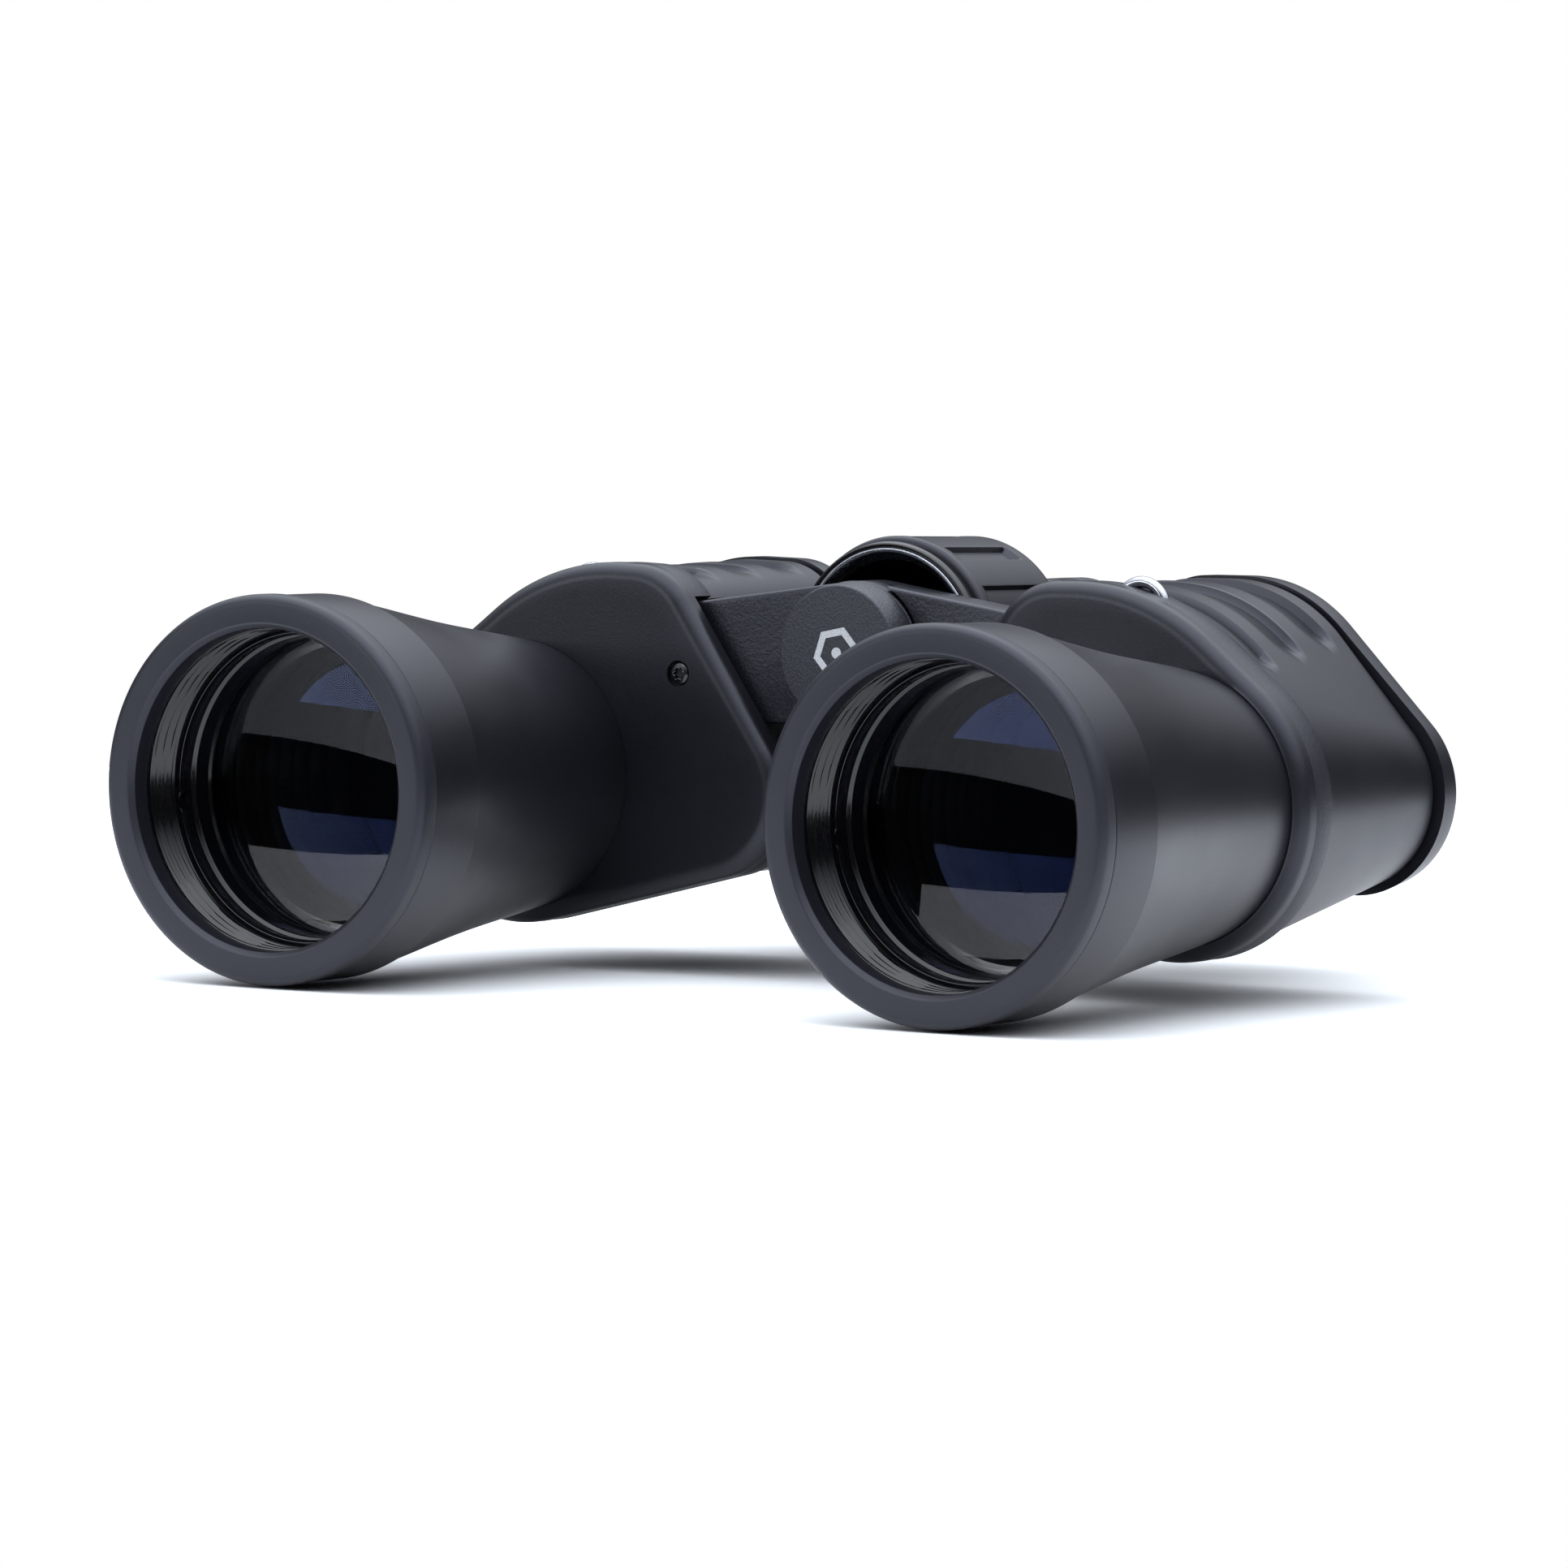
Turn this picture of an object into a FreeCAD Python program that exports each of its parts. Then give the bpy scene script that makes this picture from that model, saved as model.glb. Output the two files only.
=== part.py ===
"""Porro-prism binoculars, 10x50 class, as an assembly of separate pieces.

Frame: +X to the right barrel as seen from the front, +Y from the objectives to the
eyecups, +Z up.  The origin is half way along the length, on the mid-plane, level with
the lowest point of the objective rims.  Lengths are in millimetres.  A "station" is a
distance behind the front face of the objective rims, measured along +Y.
"""
import FreeCAD, Part
import math
import os
import re

import Sketcher
from FreeCAD import Placement, Rotation, Vector

doc = FreeCAD.newDocument("binoculars")
sheet = doc.addObject("Spreadsheet::Sheet", "sizes")

# Driving dimensions: alias -> millimetres, except the counts and the lug's tilt in degrees.
SIZES = {
    # overall layout
    "total_length": 166.0,
    "objective_x": 62.5,
    "objective_z": 31.0,
    "hinge_z": 53.0,
    "eyepiece_x": 32.0,
    "eyepiece_z": 36.5,
    "running_gap": 0.05,
    "body_gap": 0.3,
    # objective end
    "rim_radius": 31.0,
    "rim_bore": 25.6,
    "rim_depth": 4.0,
    "rim_rounding": 1.1,
    "band_radius": 30.7,
    "band_end": 16.0,
    "thread_end": 11.5,
    "lens_radius": 24.9,
    "lens_bore": 25.0,
    "lens_face": 18.9,
    "lens_seat": 26.0,
    "lens_clear": 23.8,
    "lens_front_curve": 122.0,
    "lens_rear_curve": 300.0,
    "mid_cone_radius": 26.4,
    "mid_cone_station": 40.0,
    "low_cone_radius": 23.8,
    "low_cone_station": 56.0,
    "neck_radius": 22.0,
    "spigot_radius": 19.8,
    "spigot_bore": 17.8,
    "spigot_end": 77.5,
    "baffle_pitch": 3.2,
    "baffle_count": 9,
    "baffle_wall": 0.8,
    # prism housings
    "cover_front": 70.0,
    "cover_rear": 74.0,
    "cover_rounding": 2.2,
    "lid_rounding": 1.2,
    "band_strip_end": 79.2,
    "armour_end": 116.2,
    "chassis_end": 117.0,
    "rear_face": 122.0,
    "armour_depth": 2.0,
    "strip_inset": 0.1,
    "armour_front_inset": 0.9,
    "armour_rear_inset": 0.3,
    "barrel_taper": 1.4,
    "flank_x": 31.0,
    "flank_low": 1.0,
    "flank_high": 29.5,
    "chassis_wall": 2.2,
    "shelf_station": 96.0,
    "shelf_thickness": 2.0,
    "prism_length": 38.6,
    "prism_width": 17.6,
    "prism_height": 18.0,
    # central hinge
    "cap_front": 69.4,
    "cap_rear": 75.2,
    "cap_radius": 10.9,
    "cap_base_radius": 11.5,
    "hub_radius": 11.4,
    "axle_radius": 5.0,
    "axle_front": 73.2,
    "axle_rear": 120.5,
    "front_arm_start": 75.5,
    "front_arm_end": 83.6,
    "rear_arm_start": 111.6,
    "arm_low_x": 24.0,
    "arm_low_drop": 9.6,
    "arm_low_radius": 3.0,
    "arm_top_x": 38.0,
    "arm_top_rise": 1.0,
    "arm_top_radius": 5.0,
    # focus wheel
    "wheel_front": 83.9,
    "wheel_rear": 111.2,
    "wheel_radius": 18.4,
    "wheel_rear_radius": 17.85,
    "wheel_tube_radius": 15.9,
    "wheel_tube_bore": 14.6,
    "wheel_hub_radius": 9.6,
    "grip_start": 86.8,
    "grip_groove_depth": 0.9,
    "grip_groove_width": 3.8,
    "grip_groove_count": 12,
    # focus shaft and ocular bridge
    "shaft_radius": 3.5,
    "shaft_front": 82.0,
    "pin_radius": 1.2,
    "pin_half_length": 7.6,
    "pin_station": 97.0,
    "focus_travel": 4.0,
    "bridge_front": 130.0,
    "bridge_rear": 139.0,
    "bridge_hub_radius": 10.4,
    "bridge_cap_rear": 146.5,
    # eyepieces
    "guide_bore": 12.45,
    "guide_radius": 14.0,
    "guide_flange_radius": 16.5,
    "guide_lip_radius": 14.6,
    "ocular_slide_radius": 12.4,
    "ocular_slide_bore": 11.2,
    "ocular_barrel_radius": 15.5,
    "ocular_ring_radius": 19.0,
    "dioptre_radius": 18.6,
    "dioptre_start": 139.3,
    "dioptre_end": 144.8,
    "ocular_flange_start": 146.2,
    "ocular_flange_radius": 16.4,
    "eyecup_start": 148.0,
    "eyecup_radius": 18.0,
    "eye_lens_radius": 11.5,
    "eye_stop_radius": 10.4,
    "eye_end_bore": 13.0,
    "field_curve": 40.0,
    "eye_curve": 42.0,
    # strap lug and screws
    "lug_x": 52.3,
    "lug_station": 77.2,
    "lug_ring_radius": 4.3,
    "lug_wire_radius": 0.95,
    "lug_height": 30.7,
    "left_lug_drop": 1.3,
    "lug_tilt": 13.0,
    "screw_head_radius": 1.85,
    "screw_x": 30.8,
    "screw_z": 48.5,
    "screw_head_height": 0.9,
    "screw_shank_radius": 0.9,
}

for row, (alias, value) in enumerate(SIZES.items(), start=1):
    sheet.set("A%d" % row, alias)
    sheet.set("B%d" % row, str(value))
    sheet.setAlias("B%d" % row, alias)
doc.recompute()

SIDES = (("right", 1), ("left", -1))
nodes = {}


def size(name):
    """A driving dimension as a plain number."""
    return float(sheet.get(name))


def number(expression):
    """The value of an expression over the sheet's aliases."""
    return float(sheet.evalExpression(expression))


def front_y():
    """Y of station zero: the object is centred along its length."""
    return -size("total_length") / 2


def keep(label, made):
    """Name a finished sub-part and remember it for checking and export."""
    made.Label = label
    nodes[label] = made
    return made


def shaped(label, shape):
    """A sub-part whose shape is set directly: the lofted and hull-shaped castings."""
    made = doc.addObject("Part::Feature", label)
    made.Shape = shape
    return keep(label, made)


# ---------------------------------------------------------------- turned parts

def arc_between(start, end, radius):
    """Arc of a circle from start to end; a positive radius bulges to the travel's right."""
    chord = end - start
    half = chord.Length / 2
    rise = math.sqrt(max(radius * radius - half * half, 0.0))
    normal = Vector(-chord.y, chord.x, 0).normalize()
    centre = start + chord * 0.5 + normal * (rise if radius > 0 else -rise)
    angles = [math.atan2(p.y - centre.y, p.x - centre.x) for p in (start, end)]
    if radius < 0:
        angles.reverse()
    circle = Part.Circle(centre, Vector(0, 0, 1), abs(radius))
    return Part.ArcOfCircle(circle, angles[0], angles[1])


def profile_sketch(body, name, profile):
    """Closed sketch of (radius, station[, arc radius]) corners bound to the sheet.

    The arc radius belongs to the stretch that leaves the corner.
    """
    sketch = body.newObject("Sketcher::SketchObject", name)
    plane = [f for f in body.Origin.OriginFeatures if f.Role == "XY_Plane"][0]
    sketch.AttachmentSupport = [(plane, "")]
    sketch.MapMode = "FlatFace"
    corners = [Vector(number(c[0]), number(c[1]), 0) for c in profile]
    starts = []
    ends = []
    for index, corner in enumerate(profile):
        here = corners[index]
        there = corners[(index + 1) % len(corners)]
        if len(corner) > 2:
            radius = number(corner[2])
            geometry = sketch.addGeometry(arc_between(here, there, radius), False)
            starts.append((geometry, 1 if radius > 0 else 2))
            ends.append((geometry, 2 if radius > 0 else 1))
            if 0 in (here.x, there.x):
                # a dome that closes on the axis is a sphere: its centre lies on the axis
                sketch.addConstraint(Sketcher.Constraint("PointOnObject", geometry, 3, -2))
            else:
                rule = sketch.addConstraint(Sketcher.Constraint("Radius", geometry, abs(radius)))
                sketch.setExpression("Constraints[%d]" % rule, "abs(%s)" % corner[2])
        else:
            geometry = sketch.addGeometry(Part.LineSegment(here, there), False)
            starts.append((geometry, 1))
            ends.append((geometry, 2))
    for index, corner in enumerate(profile):
        geometry, point = starts[index]
        before = ends[index - 1]
        sketch.addConstraint(Sketcher.Constraint("Coincident", before[0], before[1], geometry, point))
        if corners[index].x == 0:
            sketch.addConstraint(Sketcher.Constraint("PointOnObject", geometry, point, -2))
        else:
            rule = sketch.addConstraint(
                Sketcher.Constraint("DistanceX", -1, 1, geometry, point, corners[index].x))
            sketch.setExpression("Constraints[%d]" % rule, corner[0])
        rule = sketch.addConstraint(
            Sketcher.Constraint("DistanceY", -1, 1, geometry, point, corners[index].y))
        sketch.setExpression("Constraints[%d]" % rule, corner[1])
    return sketch


def place_on_axis(made, x_expression, z_expression):
    """Put a sub-part's own Y axis at (x, z), with its station zero at the rims."""
    made.setExpression(".Placement.Base.x", x_expression)
    made.setExpression(".Placement.Base.y", "-sizes.total_length / 2")
    made.setExpression(".Placement.Base.z", z_expression)


def turned(label, profile, x_expression="0", z_expression="sizes.hinge_z"):
    """A body of revolution about its own Y axis."""
    body = doc.addObject("PartDesign::Body", label)
    corners = [tuple(bound(text) for text in corner) for corner in profile]
    sketch = profile_sketch(body, label + "_profile", corners)
    revolution = body.newObject("PartDesign::Revolution", label + "_turned")
    revolution.Profile = (sketch, [""])
    revolution.ReferenceAxis = (sketch, ["V_Axis"])
    revolution.Angle = 360
    sketch.Visibility = False
    body.Tip = revolution
    place_on_axis(body, x_expression, z_expression)
    return keep(label, body)


def bound(text):
    """An expression whose aliases are written bare, with the sheet's name put in front."""
    def full_name(word):
        return "sizes." + word.group() if word.group() in SIZES else word.group()

    return re.sub("[a-z_]+", full_name, text)


def dome(curve, rim):
    """Expression for the height of a spherical dome over its rim radius."""
    return "( %s - sqrt( %s ^ 2 - %s ^ 2 ) )" % (curve, curve, rim)


def objective_axis(side):
    return "%d * sizes.objective_x" % side, "sizes.objective_z"


def eyepiece_axis(side):
    return "%d * sizes.eyepiece_x" % side, "sizes.eyepiece_z"


def objective_end(name, side):
    """Rim, barrel, lens, its retaining ring and the ridged light baffle of one side."""
    x, z = objective_axis(side)
    turned(name + "_front_ring", [
        ("rim_bore", "0.6"), ("rim_bore + 0.6", "0"),
        ("rim_radius - rim_rounding", "0", "rim_rounding"),
        ("rim_radius", "rim_rounding"), ("rim_radius", "rim_depth - 0.4"),
        ("band_radius", "rim_depth"), ("rim_bore", "rim_depth"),
    ], x, z)
    turned(name + "_objective_tube", [
        ("rim_bore", "rim_depth"), ("band_radius", "rim_depth"), ("band_radius", "band_end"),
        ("band_radius - 0.3", "band_end + 0.6"), ("mid_cone_radius", "mid_cone_station"),
        ("low_cone_radius", "low_cone_station"), ("neck_radius", "cover_front"),
        ("neck_radius", "cover_rear"), ("spigot_radius", "cover_rear"),
        ("spigot_radius", "spigot_end"), ("spigot_bore", "spigot_end"),
        ("spigot_bore", "cover_rear - 1"), ("neck_radius - 2.4", "cover_front"),
        ("low_cone_radius - 2.2", "low_cone_station"), ("lens_clear", "lens_seat + 8"),
        ("lens_clear", "lens_seat"), ("lens_bore", "lens_seat"),
        ("lens_bore", "thread_end"), ("rim_bore", "thread_end"),
    ], x, z)
    turned(name + "_lens_ring", [
        ("lens_clear + 0.1", "thread_end + 1.2"), ("lens_bore - 0.4", "thread_end"),
        ("lens_bore", "thread_end"), ("lens_bore", "lens_face"), ("lens_clear + 0.1", "lens_face"),
    ], x, z)
    turned(name + "_objective_lens", [
        ("0", "lens_face - " + dome("lens_front_curve", "lens_clear"), "lens_front_curve"),
        ("lens_clear", "lens_face"),
        ("lens_radius", "lens_face"), ("lens_radius", "lens_seat"),
        ("lens_clear", "lens_seat", "lens_rear_curve"),
        ("0", "lens_seat + " + dome("lens_rear_curve", "lens_clear")),
    ], x, z)
    sleeve_start = number(bound("lens_seat + 1.6"))
    straight_end = number(bound("lens_seat + 8"))
    ridge_pitch = size("baffle_pitch")
    ridge_count = int(size("baffle_count"))
    wall = size("baffle_wall")
    taper = ((size("lens_clear") - size("low_cone_radius") + 2.2)
             / (size("low_cone_station") - straight_end))

    def bore_at(station):
        """Radius of the barrel's bore, less a bonding gap."""
        return size("lens_clear") - 0.15 - max(station - straight_end, 0) * taper

    ridges = []
    for index in range(ridge_count):
        station = sleeve_start + index * ridge_pitch
        ridges.append((bore_at(station) - wall - 0.9, station))
        ridges.append((bore_at(station) - wall, station + ridge_pitch * 0.35))
    sleeve_end = sleeve_start + ridge_count * ridge_pitch
    ridges.append((bore_at(sleeve_end) - wall, sleeve_end))
    outside = [(bore_at(s), s) for s in (sleeve_end, straight_end, sleeve_start)]
    turned(name + "_light_baffle", [(str(round(r, 4)), str(round(s, 4))) for r, s in ridges + outside],
           x, z)


# ------------------------------------------------------------ housing outlines
# A housing's cross-section is one closed chain of four arcs joined by their common
# tangents: the barrel end, the sloping shoulder, the crown and the inner nose.  Each arc
# is (x, height over the objective axis, radius); the same four change from front to rear.

FRONT_ARCS = {"barrel": (62.5, 0.0, 24.4), "shoulder": (43.9, -4.0, 39.0),
              "crown": (40.2, 22.9, 12.0), "nose": (25.5, -1.5, 14.0)}
REAR_ARCS = {"barrel": (69.3, 1.0, 15.5), "shoulder": (47.0, 9.8, 25.0),
             "crown": (40.2, 22.7, 12.0), "nose": (25.5, -1.5, 14.0)}
ARC_ORDER = ("barrel", "shoulder", "crown", "nose")

# (x, z) of the screws that hold the right rear cover
REAR_SCREWS = ((73.0, 28.0), (58.0, 54.0), (51.5, 22.5))


def tangent_wire(circles, station, side):
    """Outline of circles joined by outer tangents, counter-clockwise seen from the front."""
    count = len(circles)
    normals = []
    for index, (x, z, radius) in enumerate(circles):
        next_x, next_z, next_radius = circles[(index + 1) % count]
        distance = math.hypot(next_x - x, next_z - z)
        heading = math.atan2(next_z - z, next_x - x)
        normals.append(heading - math.acos((radius - next_radius) / distance))
    edges = []
    for index, (x, z, radius) in enumerate(circles):
        first = normals[index - 1]
        last = first + (normals[index] - first) % (2 * math.pi)
        y = front_y() + station

        def on_arc(angle):
            return Vector(side * (x + radius * math.cos(angle)), y, z + radius * math.sin(angle))

        edges.append(Part.Arc(on_arc(first), on_arc((first + last) / 2), on_arc(last)).toShape())
        next_x, next_z, next_radius = circles[(index + 1) % count]
        touch = Vector(side * (next_x + next_radius * math.cos(normals[index])), y,
                       next_z + next_radius * math.sin(normals[index]))
        edges.append(Part.LineSegment(on_arc(last), touch).toShape())
    return Part.Wire(edges)


def housing_section(station, inset, side, barrel_inset=0.0):
    """Housing outline at a station, moved in by inset all round."""
    span = size("rear_face") - size("band_strip_end")
    share = min(max((station - size("band_strip_end")) / span, 0), 1)
    circles = []
    for name in ARC_ORDER:
        mixed = [a + (b - a) * share for a, b in zip(FRONT_ARCS[name], REAR_ARCS[name])]
        extra = barrel_inset if name == "barrel" else 0
        circles.append((mixed[0], mixed[1] + size("objective_z"), mixed[2] - inset - extra))
    return tangent_wire(circles, station, side)


def housing_block(start, end, start_inset, end_inset, side, barrel_inset=0.0):
    """Solid between two housing sections."""
    wires = [housing_section(start, start_inset, side),
             housing_section(end, end_inset, side, barrel_inset)]
    return Part.makeLoft(wires, True, True)


def rounded_plate(outer_face, inner_face, rounding, side):
    """Cover plate with a quarter-round along the edge of its outer face."""
    heading = 1 if inner_face > outer_face else -1
    steps = 4
    plate = Part.Face(housing_section(outer_face + heading * rounding, 0, side)).extrude(
        Vector(0, inner_face - outer_face - heading * rounding, 0))
    for step in range(steps):
        bands = []
        for turn in (step, step + 1):
            angle = math.pi / 2 * turn / steps
            depth = rounding * (1 - math.cos(angle))
            inset = rounding * (1 - math.sin(angle))
            bands.append(housing_section(outer_face + heading * depth, inset, side))
        plate = plate.fuse(Part.makeLoft(bands, True, True))
    return plate.removeSplitter()


def hull_plate(circles, start, end, side=1):
    """Flat plate whose outline wraps the given (x, z, radius) circles."""
    wire = tangent_wire(circles, start, side)
    return Part.Face(wire).extrude(Vector(0, end - start, 0))


def rod(x, z, radius, start, end):
    """Cylinder along Y between two stations."""
    return Part.makeCylinder(radius, end - start, Vector(x, front_y() + start, z), Vector(0, 1, 0))


def block(low, high):
    """Box between two corners given as (x, station, z)."""
    corner = Vector(low[0], front_y() + low[1], low[2])
    return Part.makeBox(high[0] - low[0], high[1] - low[1], high[2] - low[2], corner)


def side_block(side, low, high):
    """Box given for the right side, mirrored to the left when side is -1."""
    near, far = sorted((side * low[0], side * high[0]))
    return block((near, low[1], low[2]), (far, high[1], high[2]))


def hinge_arm(start, end, side):
    """Cast plate from the hinge hub into the housing wall, hub disc included."""
    hub = (0, size("hinge_z"), size("hub_radius"))
    root_low = (size("arm_low_x"), size("hinge_z") - size("arm_low_drop"), size("arm_low_radius"))
    root_top = (size("arm_top_x"), size("hinge_z") + size("arm_top_rise"), size("arm_top_radius"))
    return hull_plate([hub, root_low, root_top], start, end, side)


def knuckled(plate, side, start, end, hub_radius, clearance_radius, bore, hinge_z):
    """Keep this side's half of the hub disc, free the other side's half and bore it."""
    gap = size("body_gap")
    middle = (start + end) / 2
    if side > 0:
        free = (start - 1, middle + gap / 2)
    else:
        free = (middle - gap / 2, end + 1)
    plate = plate.cut(rod(0, hinge_z, clearance_radius, *free))
    return plate.cut(rod(0, hinge_z, bore, start - 1, end + 1))


def prism_frame(side):
    """Ends of the folded light path and the two fold directions, in the XZ plane."""
    objective = Vector(size("objective_x"), 0, size("objective_z"))
    eyepiece = Vector(size("eyepiece_x"), 0, size("eyepiece_z"))
    across = eyepiece - objective
    turn = Rotation(Vector(0, 1, 0), 45)
    first = turn.multVec(across) * math.sqrt(0.5)
    middle = objective + first
    return objective, middle, eyepiece


def porro_prism(label, start_point, end_point, base_station, apex_direction, side):
    """Right-angle prism with a flattened apex, long face square to the light path."""
    length = size("prism_length")
    width = size("prism_width")
    height = size("prism_height")
    along = (end_point - start_point).normalize()
    centre = (start_point + end_point) * 0.5
    half = length / 2
    top = half - height
    rim = 1.2
    y_base = front_y() + base_station
    outline = [(-half, 0), (half, 0), (half, rim), (top, height), (-top, height), (-half, rim)]
    across = Vector(-along.z, 0, along.x)
    points = []
    for offset, rise in outline:
        point = centre + along * offset - across * (width / 2)
        points.append(Vector(side * point.x, y_base + apex_direction * rise, point.z))
    face = Part.Face(Part.makePolygon(points + points[:1]))
    prism = face.extrude(Vector(side * across.x, 0, across.z) * width)
    return shaped(label, prism)


def prism_housing(name, side):
    """Covers, chassis with hinge arms, rubber armour, shelf, prisms and small parts."""
    objective_x = side * size("objective_x")
    objective_z = size("objective_z")
    cover_front = size("cover_front")
    cover_rear = size("cover_rear")
    strip_end = size("band_strip_end")
    armour_end = size("armour_end")
    chassis_end = size("chassis_end")
    rear_face = size("rear_face")
    armour = size("armour_depth")
    inside = armour + size("chassis_wall")
    hinge_z = size("hinge_z")
    eyepiece_x = side * size("eyepiece_x")
    eyepiece_z = size("eyepiece_z")
    shelf_start = size("shelf_station")

    # chrome strap lug: a half ring whose feet stand in the shoulder of the housing
    lug = doc.addObject("Part::Torus", name + "_strap_lug")
    lug.setExpression("Radius1", "sizes.lug_ring_radius")
    lug.setExpression("Radius2", "sizes.lug_wire_radius")
    lug.Angle3 = 180
    tilt = size("lug_tilt") * side
    lug_height = size("lug_height") - (size("left_lug_drop") if side < 0 else 0)
    lug_base = Vector(side * size("lug_x"), front_y() + size("lug_station"), objective_z + lug_height)
    lug.Placement = Placement(lug_base, Rotation(Vector(0, 1, 0), tilt) * Rotation(Vector(1, 0, 0), 90))
    doc.recompute()
    keep(name + "_strap_lug", lug)

    # front cover: a plate with a rounded front edge, bored for the barrel's neck
    plate = rounded_plate(cover_front, cover_rear, size("cover_rounding"), side)
    plate = plate.cut(rod(objective_x, objective_z, size("neck_radius"), cover_front - 1, cover_rear + 1))
    screw_x = side * size("screw_x")
    screw_z = size("screw_z")
    head_height = size("screw_head_height")
    shank_radius = size("screw_shank_radius")
    plate = plate.cut(rod(screw_x, screw_z, size("screw_head_radius") + 0.25,
                          cover_front - 1, cover_front + head_height))
    plate = plate.cut(rod(screw_x, screw_z, shank_radius, cover_front, cover_rear + 1))
    shaped(name + "_front_cover", plate)

    # chassis: thin-walled casting, open at the rear, with a front and a rear hinge arm
    taper = size("barrel_taper")
    core = housing_block(cover_rear, chassis_end, armour, armour, side, taper)
    shell = core.copy()
    front_arm_start = size("front_arm_start")
    front_arm_end = size("front_arm_end")
    rear_arm_start = size("rear_arm_start")
    hub_radius = size("hub_radius")
    bore = size("axle_radius") + (0 if side > 0 else size("running_gap"))
    for start, end in ((front_arm_start, front_arm_end), (rear_arm_start, chassis_end)):
        arm = knuckled(hinge_arm(start, end, side), side, start, end,
                       hub_radius, hub_radius + 0.6, bore, hinge_z)
        shell = shell.fuse(arm)
    cavity = housing_block(cover_rear + size("chassis_wall"), chassis_end + 1,
                           inside, inside, side, taper)
    shell = shell.cut(cavity)
    shell = shell.cut(rod(objective_x, objective_z, size("spigot_radius"),
                          cover_rear - 1, size("spigot_end") + 1))
    shell = shell.cut(rod(eyepiece_x, eyepiece_z, size("guide_bore") + 0.6,
                          shelf_start + 4, chassis_end + 1))
    shell = shell.cut(rod(screw_x, screw_z, shank_radius, cover_rear - 1, cover_rear + 4))
    shell = shell.cut(lug.Shape)
    shaped(name + "_chassis", shell.removeSplitter())

    # rubber armour: skin over crown, shoulder, barrel end and belly, open at the flank
    skin = housing_block(cover_rear, strip_end, size("strip_inset"), size("strip_inset"), side)
    skin = skin.fuse(housing_block(strip_end, armour_end, size("armour_front_inset"),
                                   size("armour_rear_inset"), side, taper))
    skin = skin.cut(core)
    flank = side_block(side, (0, cover_rear - 1, objective_z + size("flank_low")),
                       (size("flank_x"), rear_face, objective_z + size("flank_high")))
    skin = skin.cut(flank)
    skin = skin.cut(hinge_arm(front_arm_start - 1, front_arm_end + 1, side))
    skin = skin.cut(hinge_arm(rear_arm_start - 1, chassis_end, side))
    skin = skin.cut(lug.Shape)
    scoop_radius = size("lug_ring_radius") - size("lug_wire_radius") - 0.35
    scoop_start = lug_base + Vector(0, -3.5, scoop_radius + 0.7)
    scoop = Part.makeCylinder(scoop_radius, 7.0, scoop_start, Vector(0, 1, 0))
    skin = skin.cut(scoop)
    solids = sorted(skin.Solids, key=lambda s: s.Volume)
    shaped(name + "_armour", solids[-1])

    # rear cover, bored for the eyepiece guide
    lid = rounded_plate(rear_face, chassis_end, size("lid_rounding"), side)
    lid = lid.cut(rod(eyepiece_x, eyepiece_z, size("guide_radius"), chassis_end - 1, rear_face + 1))
    for x, z in REAR_SCREWS:
        lid = lid.cut(rod(side * x, z, shank_radius, chassis_end - 1, rear_face + 1))
    shaped(name + "_rear_cover", lid)
    screws = []
    for index, (x, z) in enumerate(REAR_SCREWS):
        screws.append(pan_screw("%s_rear_screw_%d" % (name, index + 1), side * x, z,
                                rear_face, -1, rear_face - chassis_end))
    group = doc.addObject("Part::Compound", name + "_rear_screws")
    group.Links = screws
    keep(name + "_rear_screws", group)
    front_screw = pan_screw(name + "_front_screw_body", screw_x, screw_z,
                            cover_front + head_height, 1, 5.0)
    keep(name + "_front_screw", front_screw)

    # prism shelf and the two prisms it carries
    shelf_end = shelf_start + size("shelf_thickness")
    start_point, middle_point, end_point = prism_frame(side)
    shelf = Part.Face(housing_section(shelf_start, inside + 2.0, side)).extrude(
        Vector(0, shelf_end - shelf_start, 0))
    for point, radius in ((start_point, 9.5), (middle_point, 9.0), (end_point, 13.2)):
        shelf = shelf.cut(rod(side * point.x, point.z, radius, shelf_start - 1, shelf_end + 1))
    shaped(name + "_prism_shelf", shelf)
    porro_prism(name + "_rear_prism", start_point, middle_point, shelf_end, 1, side)
    porro_prism(name + "_front_prism", middle_point, end_point, shelf_start, -1, side)

    # guide sleeve that the eyepiece slides in when focusing
    x, z = eyepiece_axis(side)
    turned(name + "_eyepiece_guide", [
        ("guide_bore", "chassis_end"), ("guide_radius", "chassis_end"), ("guide_radius", "rear_face"),
        ("guide_flange_radius", "rear_face"), ("guide_flange_radius", "rear_face + 1.2"),
        ("guide_lip_radius", "rear_face + 1.2"), ("guide_lip_radius", "rear_face + 2.4"),
        ("guide_bore", "rear_face + 2.4"),
    ], x, z)


def pan_screw(name, x, z, head_base, heading, shank_length):
    """Pan-head screw along Y; heading is the way the shank points (+1 is to the rear)."""
    head = doc.addObject("Part::Cylinder", name + "_head")
    head.setExpression("Radius", "sizes.screw_head_radius")
    head.setExpression("Height", "sizes.screw_head_height")
    shank = doc.addObject("Part::Cylinder", name + "_shank")
    shank.setExpression("Radius", "sizes.screw_shank_radius")
    shank.Height = shank_length
    to_rear = Rotation(Vector(1, 0, 0), -90)
    to_front = Rotation(Vector(1, 0, 0), 90)
    seat = Vector(x, front_y() + head_base, z)
    head.Placement = Placement(seat, to_front if heading > 0 else to_rear)
    shank.Placement = Placement(seat, to_rear if heading > 0 else to_front)
    screw = doc.addObject("Part::Fuse", name)
    screw.Base = head
    screw.Tool = shank
    return screw


# ------------------------------------------------------------------ central hinge

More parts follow.
